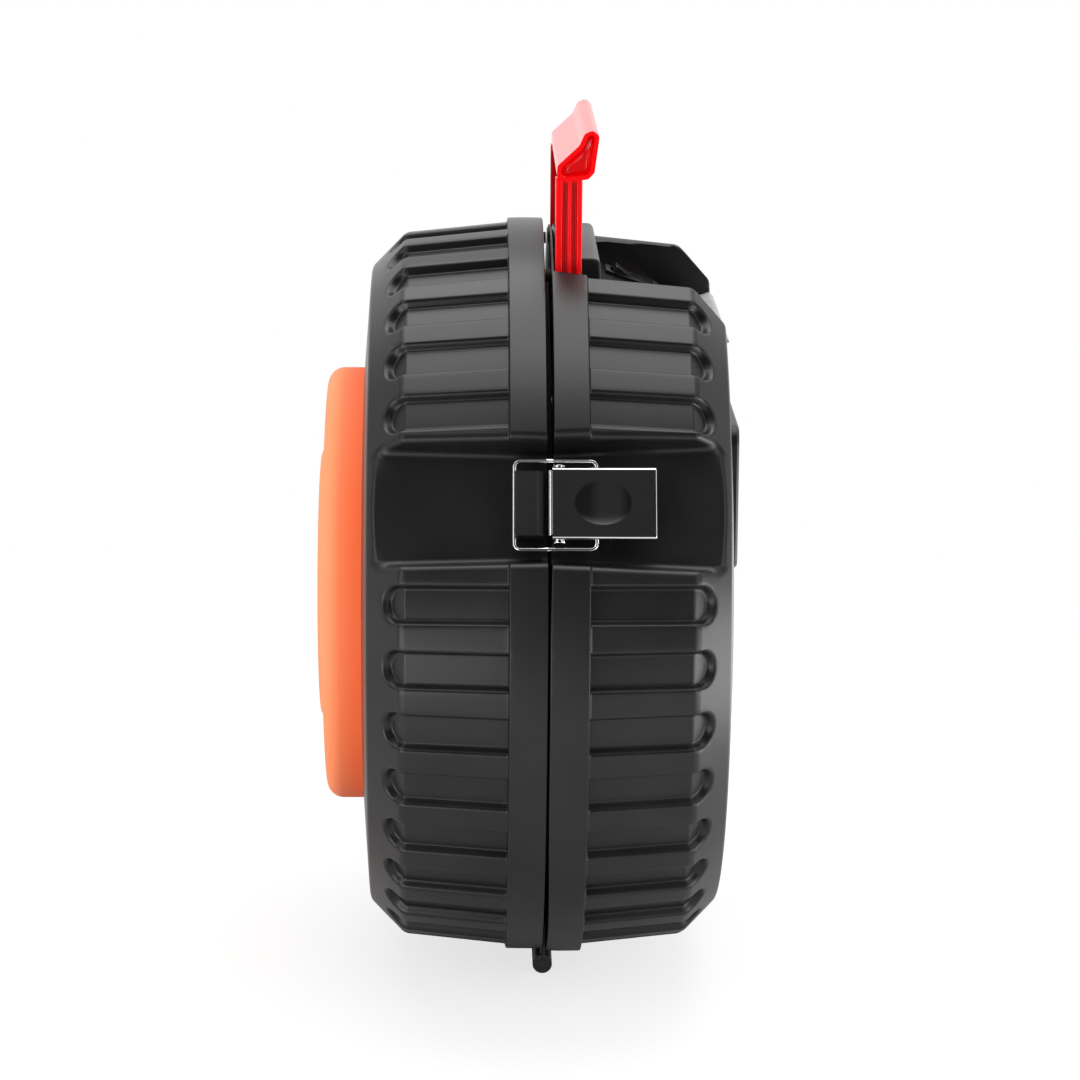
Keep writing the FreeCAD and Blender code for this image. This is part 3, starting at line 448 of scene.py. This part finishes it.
def pocketSection(profile, land):
    # the latch pocket across each row: t along the rim, h out of the land; half of it, from the middle
    landR, draft = case["landR"], case["landDraft"]
    rowX, rowR = profile[:, :1], profile[:, 1:]
    half = land[0] + (land[1] - land[0]) / case["faceX"] * rowX
    # the wall's top is where it meets the row's circle
    quad = (1 + draft ** 2, 2 * draft * half + 2 * landR, half ** 2 + landR ** 2 - rowR ** 2)
    top = (np.sqrt(np.maximum(quad[1] ** 2 - 4 * quad[0] * quad[2], 0)) - quad[1]) / (2 * quad[0])
    top = np.where(quad[2] < 0, top, 0)
    wallLength = top * math.hypot(1, draft)
    topAngle = np.arcsin(np.clip((half + draft * top) / rowR, -1, 1))
    total = wallLength + (math.radians(case["pocketReach"]) - topAngle) * rowR
    rise = np.maximum(wallLength, columns["leastRise"])
    nearEnd, farEnd = (wallLength + share * (total - wallLength) for share in columns["shares"])
    stops = [half * 0, half - columns["wallStart"], half, half + np.minimum(rise, nearEnd),
             half + np.minimum(rise + columns["lipReach"], farEnd), half + total]
    marks = []
    for k, count in enumerate(columns["pocketCounts"]):
        share = np.arange(count) / count
        if k == 2:                        # on the wall, closest at its foot and its lip
            share = (1 - np.cos(np.pi * share)) / 2
        marks.append(stops[k] + share * (stops[k + 1] - stops[k]))
    u = np.hstack(marks + [stops[-1]])
    onWall = np.clip(u - half, 0, wallLength) / math.hypot(1, draft)
    beyond = u > half + wallLength
    angle = topAngle + (u - (half + wallLength)) / rowR
    t = np.where(beyond, rowR * np.sin(angle), np.minimum(u, half) + draft * onWall)
    h = np.where(beyond, rowR * np.cos(angle) - landR, onWall)
    h = np.minimum(h, np.sqrt(np.maximum(rowR ** 2 - t ** 2, 0)) - landR)
    # well inside the face the rows are plain circles
    last = np.argmax(profile[:, 1] < landR - columns["flatDrop"])
    angles = np.arctan2(t, h + landR)[last - 1]
    flatRow = (np.arange(len(profile)) >= last)[:, None]
    t = np.where(flatRow, rowR * np.sin(angles), t)
    h = np.where(flatRow, rowR * np.cos(angles) - landR, h)
    frozen = (rowX < columns["straightX"]) | flatRow
    start, width = columns["lipInside"]

    def field(x, t, h):
        r = np.hypot(t, h + landR)
        body = np.where(frozen, r - rowR, bodyField(x, r))
        halfHere = land[0] + (land[1] - land[0]) / case["faceX"] * x
        wall = (np.abs(t) - halfHere - draft * h) / math.hypot(1, draft)
        hollow = roundJoin(wall, -h, case["landFoot"])
        inside = np.clip((-wall - start) / width, 0, 1)
        lip = case["landLip"] + (case["landEnd"] - case["landLip"]) * inside * inside * (3 - 2 * inside)
        return roundJoin(body, -hollow, lip)

    x, t, h = settle(field, (np.broadcast_to(rowX, t.shape), t, h), frozen)
    t[:, 0] = 0
    return x, t, h


def columnSpots(half):
    # angles of the plain columns, from the +Y side round, and none where the two pockets come in
    spots = []
    for flute in range(0, 360, case["fluteEvery"]):
        widths = columns["plain" if flute in half["plain"] else "flute"]
        for lateral in [-w for w in widths[:0:-1]] + list(widths):
            spots.append(flute + math.degrees(lateral / columns["middleR"]))
    if half["side"] > 0:
        for first in columns["recessSides"]:
            last = first + columns["recessRun"]
            spots = [a for a in spots if not first < a < last]
            spots += list(np.arange(first, last, columns["recessStep"]))
    kept = []
    for angle in sorted(spots):
        middle = case["landAngle"] if angle < 90 else 180 - case["landAngle"]
        apart = not kept or angle - kept[-1] > columns["least"]
        if abs(angle - middle) > case["pocketReach"] + columns["least"] and apart:
            kept.append(angle)
    return np.array(kept)


def outerSkin(half):
    # closed solid whose outside is the finished moulding
    profile, bandCount = profileRows(half["rimR"])
    rowX, rowR = profile[:, :1], profile[:, 1:]
    spots = columnSpots(half)
    steps = np.gradient(profile, axis=0)
    normal = np.column_stack([-steps[:, 1], steps[:, 0]]) / np.linalg.norm(steps, axis=1)[:, None]
    normal[:bandCount] = normal[bandCount:bandCount + 2] = (0, 1)
    nearest = np.round(spots / case["fluteEvery"]) * case["fluteEvery"]
    depth = fluteShare(profile, bandCount, rowR * np.sin(np.radians(spots - nearest)))
    depth[:, np.isin(nearest, half["plain"])] = 0
    angle = np.radians(spots)
    if half["side"] > 0:
        # the edge of the console recess is rounded over
        away = np.abs(rowR * np.cos(angle)) - case["recessHalf"]
        lip = case["recessLip"]
        sunk = lip - np.sqrt(np.maximum(lip ** 2 - np.clip(lip - away, 0, lip) ** 2, 0))
        depth = depth + np.where((np.sin(angle) > 0.5) & (rowR > case["recessR"]), sunk, 0)
    x = rowX - depth * normal[:, :1]
    bandWall = np.minimum(rowX[bandCount:], case["bandEdge"] + case["bandStep"])
    x[bandCount:] = np.maximum(x[bandCount:], bandWall)
    r = rowR - depth * normal[:, 1:]
    plain = np.stack([x, r * np.cos(angle), r * np.sin(angle)], axis=-1)
    px, pt, ph = (np.concatenate([a[:, :0:-1], a], axis=1) for a in pocketSection(profile, half["land"]))
    pt[:, :pt.shape[1] // 2] *= -1
    strips, at = [], 0
    for middle in (case["landAngle"], 180 - case["landAngle"]):
        before = np.searchsorted(spots, middle)
        strips.append(plain[:, at:before])
        c, s = math.cos(math.radians(middle)), math.sin(math.radians(middle))
        out = ph + case["landR"]
        strips.append(np.stack([px, out * c - pt * s, out * s + pt * c], axis=-1))
        at = before
    strips.append(plain[:, at:])
    grid = np.concatenate(strips, axis=1)
    nearSeam = np.clip((case["bandEdge"] - grid[..., 0]) / (case["bandEdge"] - case["seamEnd"]), 0, 1)
    grid[..., 0] += nearSeam * seamShift(half, grid[..., 2])
    return skinMesh(half["node"] + "_skin", grid, half["side"])


def seamShift(half, z):
    # how far the rim stands off its plane at a height: at the foot, between the latches, at the top
    foot, middle, top = half["seam"]
    t = np.clip((np.abs(z - case["seamHeight"]) - case["seamFlat"]) / case["seamRun"], 0, 1)
    share = t * t * (3 - 2 * t)
    return middle + (np.where(z > case["seamHeight"], top, foot) - middle) * share


def linked(name, data):
    piece = bpy.data.objects.new(name, data)
    bpy.context.scene.collection.objects.link(piece)
    return piece


def skinMesh(name, grid, side):
    rowCount, count = grid.shape[:2]
    points = grid.reshape(-1, 3) * (side, 1, 1) + (axisX, 0, axisZ)
    column = np.arange(count)
    following = np.roll(column, -1)
    faces = []
    for k in range(rowCount - 1):
        low, high = k * count, (k + 1) * count
        faces += np.column_stack([low + column, low + following, high + following, high + column]).tolist()
    faces.append(column[::-1].tolist())
    faces.append(((rowCount - 1) * count + column).tolist())
    if side < 0:
        faces = [face[::-1] for face in faces]
    mesh = bpy.data.meshes.new(name)
    mesh.from_pydata((points * mm).tolist(), [], faces)
    mesh.validate()
    return linked(name, mesh)


def formOf(mesh):
    form = bmesh.new()
    form.from_mesh(mesh)
    return form


def store(form, mesh):
    form.to_mesh(mesh)
    form.free()


def pieceOf(name, form):
    mesh = bpy.data.meshes.new(name)
    store(form, mesh)
    return linked(name, mesh)


def weldedMesh(node):
    # a CAD node's mesh, welded into closed solids
    mesh = nodes[node].data.copy()
    form = formOf(mesh)
    bmesh.ops.remove_doubles(form, verts=form.verts, dist=weldReach)
    store(form, mesh)
    return mesh


# how the CAD half's outside is moved clear of the skin, in mm; near is how close counts as on an edge
clear = dict(
    outward=3.0, near=0.05, exact=0.02, deepX=66, deep=-4.5, thin=-1.0, bandDepth=0.75, bandFootR=144.5,
    straightX=58, leanX=71.9, lean=0.7, recessZ=100, sillX=72.2, sillLow=(70.8, -0.2, 116), sillRise=0.266,
    leadStart=54.9, leadEnd=63.5, leadNear=0.03, leadBelow=0.1, stepBelow=0.5, wallR=147.5,
    seamX=(2.35, 0.5),
)


def openedNode(half):
    # the CAD half with its outside moved outward, so that the skin alone trims it
    mesh = weldedMesh(half["node"])
    mesh.materials.clear()
    spots = np.zeros(len(mesh.vertices) * 3)
    mesh.vertices.foreach_get("co", spots)
    spots = spots.reshape(-1, 3) / mm - (axisX, 0, axisZ)
    x, y, z = spots[:, 0] * half["side"], spots[:, 1], spots[:, 2]
    r = np.hypot(y, z)
    body = bodyField(x, r)
    near, bandEnd = clear["near"], case["bandEdge"] + clear["near"]
    shallow = np.where(x < clear["deepX"], body > clear["deep"], body > clear["thin"]) & (x > bandEnd)
    onBand = (x > case["bandEdge"] - near) & (r > clear["bandFootR"])
    onBand = onBand | (r > half["rimR"] - clear["bandDepth"])
    angle = math.radians(case["landAngle"])
    out = np.abs(y) * math.cos(angle) + z * math.sin(angle) - case["landR"]
    along = np.abs(z * math.cos(angle) - np.abs(y) * math.sin(angle))
    width = half["land"][0] + (half["land"][1] - half["land"][0]) / case["faceX"] * x
    pocket = (out > -near) & (along < width + case["landDraft"] * out + near)
    moved = shallow | ((x < bandEnd) & onBand) | pocket
    # outward is along r on the tread, along x on the face, and between them on the shoulder
    ways = np.zeros((len(x), 3))
    straight, leaning = x < clear["straightX"], x < clear["leanX"]
    turnR = np.where(straight, 1.0, np.where(leaning, clear["lean"], 0.0))
    ways[:, 0] = np.where(straight, 0.0, np.where(leaning, clear["lean"], 1.0)) * half["side"]
    ways[:, 1], ways[:, 2] = turnR * y / r, turnR * z / r
    if half["side"] > 0:
        inRecess = (np.abs(y) < case["recessHalf"] + clear["exact"]) & (z > clear["recessZ"])
        edge = inRecess & (np.abs(y) > case["recessHalf"] - clear["exact"])
        ways[inRecess, 1] = 0
        lowX, lowBody, lowZ = clear["sillLow"]
        sill = inRecess & ((x > clear["sillX"]) | ((x > lowX) & (body > lowBody) & (z < lowZ)))
        ways[sill, 2] = clear["sillRise"]
        moved = moved & (~inRecess | edge | sill)
        # beside the handle's arms the band's end slopes, and its edges follow that slope
        low, high = case["leadHalf"]
        past = np.abs(y) - low - (high - low) * x / case["bandEdge"] - case["leadSlope"] * (z - case["leadZ"])
        lead = (x < bandEnd) & (z > case["leadZ"] - clear["leadBelow"])
        lead = lead & (np.abs(y) > clear["leadStart"]) & (past < clear["leadNear"])
        slope = lead & (past > -clear["leadNear"])
        ways[slope] = np.column_stack([0 * y, case["leadSlope"] * np.sign(y), 1 + 0 * y])[slope]
        wall = (x > case["bandEdge"] - near) & (r > clear["wallR"])
        moved = moved & (~lead | (slope & (r > clear["wallR"])) | wall)
        onStep = (np.abs(x - case["bandEdge"]) < near) & (z > case["leadZ"] - clear["stepBelow"])
        spots[onStep & (np.abs(y) < clear["leadEnd"]), 0] += case["bandStep"]
    start, run = clear["seamX"]
    spots[:, 0] += np.clip((start - x) / run, 0, 1) * seamShift(half, z) * half["side"]
    spots = spots + np.where(moved[:, None], ways * clear["outward"], 0) + (axisX, 0, axisZ)
    mesh.vertices.foreach_set("co", (spots * mm).ravel())
    mesh.update()
    return linked(half["node"] + "_open", mesh)


def trimmed(piece, tool, operation):
    # one solid after the other, and the tool goes
    cut = piece.modifiers.new("trim", "BOOLEAN")
    cut.operation, cut.solver, cut.object = operation, "MANIFOLD", tool
    made = bpy.data.meshes.new_from_object(piece.evaluated_get(bpy.context.evaluated_depsgraph_get()))
    piece.modifiers.clear()
    piece.data = made
    bpy.data.objects.remove(tool)
    return piece


def smoothed(piece, degrees=32):
    # smooth shading that leaves the large flat faces flat
    piece.data.shade_smooth()
    piece.data.set_sharp_from_angle(angle=math.radians(degrees))
    level = piece.modifiers.new("shading", "WEIGHTED_NORMAL")
    level.keep_sharp = True


def standsFor(piece, node, body, material):
    piece.data.materials.clear()
    piece.data.materials.append(material)
    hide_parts(node)
    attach(piece, body)


for half in halves.values():
    moulding = trimmed(outerSkin(half), openedNode(half), "INTERSECT")
    smoothed(moulding)
    moulding.name = half["node"] + "_moulding"
    standsFor(moulding, half["node"], half["body"], materials["shellBlack"])
    print("case half", half["node"], len(moulding.data.polygons), "faces")


def joinFlats(form):
    # the triangles of each flat face become one face
    bmesh.ops.dissolve_limit(form, angle_limit=math.radians(flatAngle), verts=form.verts, edges=form.edges)


def dressed(piece, node, body, material, edge=0.0, corner=40, clamped=False):
    # the CAD shape with broken edges stands for its node
    form = formOf(piece.data)
    joinFlats(form)
    store(form, piece.data)
    if edge:
        broken = piece.modifiers.new("edges", "BEVEL")
        broken.width, broken.segments, broken.limit_method = edge * mm, 3, "ANGLE"
        broken.angle_limit = math.radians(corner)
        broken.use_clamp_overlap = clamped
    smoothed(piece)
    standsFor(piece, node, body, material)


# a latch in its own directions, in mm: along the wheel's axis, along the rim, out of the land
latch = dict(
    dish=(20.1, 0.0, 11.4), dishHalf=(10.8, 8.6), dishDepth=0.45, dishShare=0.8,
    freeEnd=40.4, near=0.02, edge=0.4, skirt=(13.2, 9.5), topH=10.95,
    nose=(0.6, 9.9), noseR=1.36, noseHalf=12.4, noseBevel=0.3, noseTurns=24,
    ridgeStart=0.1, ridgePitch=0.62, ridgeDepth=0.16,
    ridge=((0.0, 1.0), (0.22, 0.2), (0.42, 0.0), (0.62, 0.2), (0.84, 1.0)),      # shares of pitch and depth
)


def latchTurn(side):
    # from the latch's own directions to the object's, in m
    c, s = math.cos(math.radians(case["landAngle"])), math.sin(math.radians(case["landAngle"]))
    along, rim, out = Vector((1, 0, 0)), Vector((0, -side * s, c)), Vector((0, side * c, s))
    turn = Matrix((along, rim, out)).transposed().to_4x4()
    start = Vector((axisX, 0, axisZ)) + out * case["landR"]
    return Matrix.Scale(mm, 4) @ Matrix.Translation(start) @ turn


def putOnLatch(piece, side):
    # the far side's turn is a mirror, so its faces are turned round again
    piece.data.transform(latchTurn(side))
    if side > 0:
        piece.data.flip_normals()
    return piece


def thumbDish():
    # a flat ellipsoid whose cap is the dish
    form = bmesh.new()
    bmesh.ops.create_uvsphere(form, u_segments=96, v_segments=64, radius=1.0)
    share = latch["dishShare"]
    tall = latch["dishDepth"] / (1 - share)
    wide = [half / math.sqrt(1 - share * share) for half in latch["dishHalf"]]
    for vert in form.verts:
        x, y, z = vert.co
        vert.co = (latch["dish"][0] + x * wide[0], latch["dish"][1] + y * wide[1],
                   latch["dish"][2] + share * tall + z * tall)
    return pieceOf("thumbDish", form)


def ridgedNose(name):
    # the roll at the lever's pivot end, finely ridged for grip
    u, h = latch["nose"]
    half, pitch, turns = latch["noseHalf"], latch["ridgePitch"], latch["noseTurns"]
    profile = [(-half, latch["noseR"] - latch["noseBevel"])]
    for k in range(int(2 * half / pitch)):
        start = -half + latch["ridgeStart"] + k * pitch
        profile += [(start + pitch * share, latch["noseR"] - latch["ridgeDepth"] * fall)
                    for share, fall in latch["ridge"]]
    profile += [(half, latch["noseR"] - latch["noseBevel"])]
    form = bmesh.new()
    rings = []
    for t, r in profile:
        rings.append([form.verts.new((u + r * math.cos(2 * math.pi * k / turns), t,
                                      h + r * math.sin(2 * math.pi * k / turns))) for k in range(turns)])
    for low, high in zip(rings, rings[1:]):
        for k in range(turns):
            form.faces.new((low[k], high[k], high[(k + 1) % turns], low[(k + 1) % turns]))
    form.faces.new(rings[0])
    form.faces.new(rings[-1][::-1])
    bmesh.ops.recalc_face_normals(form, faces=form.faces)
    return pieceOf(name, form)


def endBroken(piece, side):
    # rounds the outer edges of the lever's free end, which catch the light
    form = formOf(piece.data)
    joinFlats(form)
    toLatch = latchTurn(side).inverted()
    spots = {vert: toLatch @ vert.co for vert in form.verts}
    skirtHalf, skirtFoot = latch["skirt"]
    chosen = []
    for edge in form.edges:
        ends = [spots[vert] for vert in edge.verts]
        atEnd = all(abs(p.x - latch["freeEnd"]) < latch["near"] and p.z > skirtFoot for p in ends)
        if atEnd and all(abs(p.y) > skirtHalf or p.z > latch["topH"] for p in ends):
            chosen.append(edge)
    bmesh.ops.bevel(form, geom=chosen, offset=latch["edge"] * mm, segments=3, profile=0.5, affect="EDGES")
    store(form, piece.data)


for name, side in (("near", -1), ("far", 1)):
    node = "latch_lever_" + name
    lever = linked(node + "_pressed", weldedMesh(node))
    lever = trimmed(lever, putOnLatch(thumbDish(), side), "DIFFERENCE")
    endBroken(lever, side)
    dressed(lever, node, "lever_" + name, materials["chromeBright"])
    nose = putOnLatch(ridgedNose("lever_nose_" + name), side)
    smoothed(nose, 50)
    nose.data.materials.append(materials["chromeSatin"])
    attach(nose, "lever_" + name)
print("latches dressed")

# the grip's ends, in mm: x and z of the case, y out to either side
handle = dict(
    gripEnd=54.2, hollowEnd=45.2, edge=0.35, corner=50, blockEdge=0.9,
    core=[(7.2, 175.4), (15.2, 176.3), (16.2, 178.0), (17.9, 190.6), (16.8, 191.6), (15.4, 190.8),
          (13.6, 186.6), (5.4, 179.0), (5.2, 176.4)],
    middle=(13.6, 181.0), turn=1.0, plugGrow=1.07, plugEnds=(0.04, 0.6),
    # the bowl's outline and depth, from the rim to its bottom
    bowl=[(1.10, -0.6), (1.06, -0.02), (1.02, 0.25), (1.0, 0.7), (0.985, 1.8), (0.95, 2.8), (0.88, 3.6),
          (0.76, 4.3), (0.6, 4.8), (0.4, 5.1), (0.2, 5.25)],
)


def gripOutline(grow):
    # the hollow's outline in the grip's end, its corners rounded
    corners = handle["core"]
    mid = tuple((a + b) / 2 for a, b in zip(corners[-1], corners[0]))
    path = roundedPath([mid] + [c + (handle["turn"],) for c in corners] + [mid], 4)[:-1]
    centre = np.array(handle["middle"])
    return centre + (path - centre) * grow


def gripLoft(name, sections, side):
    # closed solid through outlines (how much grown, how far out)
    form = bmesh.new()
    loops = [[form.verts.new(((x + axisX) * mm, y * side * mm, (z + axisZ) * mm))
              for x, z in gripOutline(grow)] for grow, y in sections]
    count = len(loops[0])
    for low, high in zip(loops, loops[1:]):
        for k in range(count):
            form.faces.new((low[k], low[(k + 1) % count], high[(k + 1) % count], high[k]))
    form.faces.new(loops[0][::-1])
    form.faces.new(loops[-1])
    bmesh.ops.recalc_face_normals(form, faces=form.faces)
    return pieceOf(name, form)


grip = linked("carry_handle_moulded", weldedMesh("carry_handle"))
for side in (-1, 1):
    # the solid's ribbed hollow is filled, and the bowl is pressed into the filling
    ends = handle["gripEnd"] - handle["plugEnds"][0], handle["hollowEnd"] - handle["plugEnds"][1]
    plug = gripLoft("gripPlug", [(handle["plugGrow"], y) for y in ends], side)
    grip = trimmed(grip, plug, "UNION")
    bowl = gripLoft("gripBowl", [(grow, handle["gripEnd"] - deep) for grow, deep in handle["bowl"]], side)
    grip = trimmed(grip, bowl, "DIFFERENCE")
dressed(grip, "carry_handle", "handle", materials["handleRed"], handle["edge"],
        handle["corner"], clamped=True)
block = linked("handle_block_dressed", weldedMesh("handle_block"))
dressed(block, "handle_block", "power_half", materials["trimBlack"], handle["blockEdge"])
print("handle dressed")

# the room, the floor and the lamps in m, the eye in mm
studio = dict(
    elevation=12.82, pan=-1.033, roll=0.379, lens=133.333, sensor=36.0, eye=(-22.8, -1604.8, 539.4),
    worldLight=0.85, roomDark=0.023, wallWay=(0, 0.8, 0.6), wallRise=(-0.15, 0.4),
    frontMiddle=(0.001, 0.012), frontSides=0.35, sideWalls=(0.3, 0.85), sidesDark=0.3,
    floorSize=60.0, floorRough=0.9, floorGloss=0.1, floorSeen=grey(0.85), floorShadeInReflections=grey(0.5),
    floorGlow=0.72, glowReach=(0.20, 0.75), mirrorReach=(0.25, 0.6), tableEnd=(-1.1, -0.45), tableDark=0.05,
)
lamps = dict(
    topSoftbox=dict(place=(0.0, 0.25, 1.5), target=(0, 0.1, 0.15), size=(1.6, 1.4), strength=2.4),
    rightSoftbox=dict(place=(1.5, 0.15, 0.5), target=(0, 0, 0.15), size=(0.9, 0.9), strength=0.8),
    leftSoftbox=dict(place=(-1.5, 0.1, 0.5), target=(0, 0, 0.15), size=(0.9, 0.9), strength=0.6),
    lowRight=dict(place=(0.36, -0.02, 0.08), target=(0, -0.02, 0.1), size=(0.7, 0.14), strength=4.5),
    lowRightFront=dict(place=(0.34, -0.42, 0.07), target=(0, -0.1, 0.1), size=(0.2, 0.12), strength=2.6),
    lowLeftFront=dict(place=(-0.26, -0.5, 0.09), target=(0, -0.1, 0.12), size=(0.34, 0.16), strength=4.4),
    leftStrip=dict(place=(-0.75, -0.75, 0.55), target=(0, 0, 0.15), size=(0.16, 0.9), strength=5.0),
    rightStrip=dict(place=(0.75, -0.75, 0.55), target=(0, 0, 0.15), size=(0.16, 0.9), strength=3.5),
)


def seenRays(paint):
    # what the camera sees, straight or through something clear, and what reflections see
    camera = paint.add("LightPath", output="Is Camera Ray")
    glossy = paint.add("LightPath", output="Is Glossy Ray")
    through = paint.add("LightPath", output="Is Transmission Ray")
    seen = camera.math("MAXIMUM", camera, through)
    return seen, glossy * (1 - seen)


def makeFloor():
    half = studio["floorSize"] / 2
    mesh = bpy.data.meshes.new("studioFloor")
    corners = [(-half, -half, 0), (half, -half, 0), (half, half, 0), (-half, half, 0)]
    mesh.from_pydata(corners, [], [(0, 1, 2, 3)])
    floor = linked("studioFloor", mesh)
    paint = Paint("floorWhite", Roughness=studio["floorRough"], Specular_IOR_Level=studio["floorGloss"])
    seen, glossy = seenRays(paint)
    # painted shade: reflections and bounced light see a darker floor than the eye does, which darkens the
    # object's underside
    paint.set(Base_Color=paint.blend(seen, studio["floorShadeInReflections"], studio["floorSeen"]))
    lit = Value(paint, paint.surface.outputs[0])
    spot = paint.spot()
    # in reflections the table ends some way in front of the object
    table = paint.axis("Y", spot).ramp(*studio["tableEnd"], studio["tableDark"], 1.0)
    glow = paint.add("Emission", {}, {"Color": (1, 1, 1, 1), "Strength": table})
    # the eye sees the white world through it, and the open lid where it swings below
    clearGlass = paint.add("BsdfTransparent")
    beyond = paint.add("MixShader", {}, {0: seen, 1: glow, 2: clearGlass})
    away = paint.add("VectorMath", {"operation": "LENGTH"}, {0: spot}, output=1)
    share = seen * away.ramp(*studio["glowReach"], studio["floorGlow"], 1.0)
    share = share + glossy * away.ramp(*studio["mirrorReach"])
    mixed = paint.add("MixShader", {}, {0: share, 1: lit, 2: beyond})
    paint.feed(paint.tree.nodes["Material Output"].inputs[0], mixed)
    mesh.materials.append(paint.material)


def makeWorld():
    world = bpy.data.worlds.new("studioWorld")
    bpy.context.scene.world = world
    world.use_nodes = True
    paint = Paint(tree=world.node_tree)
    seen, glossy = seenRays(paint)
    # reflections show the pale wall behind and above, and the dim room in front
    way = paint.add("TexCoord", output="Generated")
    rise = paint.add("VectorMath", {"operation": "DOT_PRODUCT"}, {0: way, 1: studio["wallWay"]}, output=1)
    side = paint.axis("X", way)
    sideways = side * side
    front = sideways.ramp(*studio["frontMiddle"], 1.0, studio["frontSides"]) * studio["roomDark"]
    ahead = rise.ramp(*studio["wallRise"], front, 1.0)
    room = ahead * sideways.ramp(*studio["sideWalls"], 1.0, studio["sidesDark"])
    background = paint.tree.nodes["Background"]
    background.inputs["Color"].default_value = (1, 1, 1, 1)
    strength = seen + glossy * room + (1 - seen) * (1 - glossy) * studio["worldLight"]
    paint.feed(background.inputs["Strength"], strength)


def makeLamp(name, place, target, size, strength):
    lamp = bpy.data.lights.new(name, "AREA")
    lamp.shape = "RECTANGLE"
    lamp.size, lamp.size_y = size
    lamp.energy = strength * math.pi * size[0] * size[1]
    holder = linked(name, lamp)
    holder.location = place
    holder.rotation_euler = (Vector(target) - Vector(place)).to_track_quat("-Z", "Y").to_euler()
    holder.visible_camera = False


def makeCamera():
    # the eye sits as measured, tilted down by the elevation, with a slight pan and roll
    tilt, pan, roll = (math.radians(studio[key]) for key in ("elevation", "pan", "roll"))
    right = Vector((math.cos(pan), math.sin(pan), 0))
    forward = Vector((-math.sin(pan) * math.cos(tilt), math.cos(pan) * math.cos(tilt), -math.sin(tilt)))
    up = right.cross(forward)
    tiltedRight = right * math.cos(roll) + up * math.sin(roll)
    tiltedUp = up * math.cos(roll) - right * math.sin(roll)
    camera = bpy.data.cameras.new("studioCamera")
    camera.lens, camera.sensor_width = studio["lens"], studio["sensor"]
    holder = linked("studioCamera", camera)
    turn = Matrix((tiltedRight, tiltedUp, -forward)).transposed().to_4x4()
    holder.matrix_world = Matrix.Translation(Vector(studio["eye"]) * mm) @ turn
    bpy.context.scene.camera = holder


makeFloor()
makeWorld()
for name, lamp in lamps.items():
    makeLamp(name, **lamp)
makeCamera()
bpy.context.scene.view_settings.view_transform = "Standard"
print("studio set")
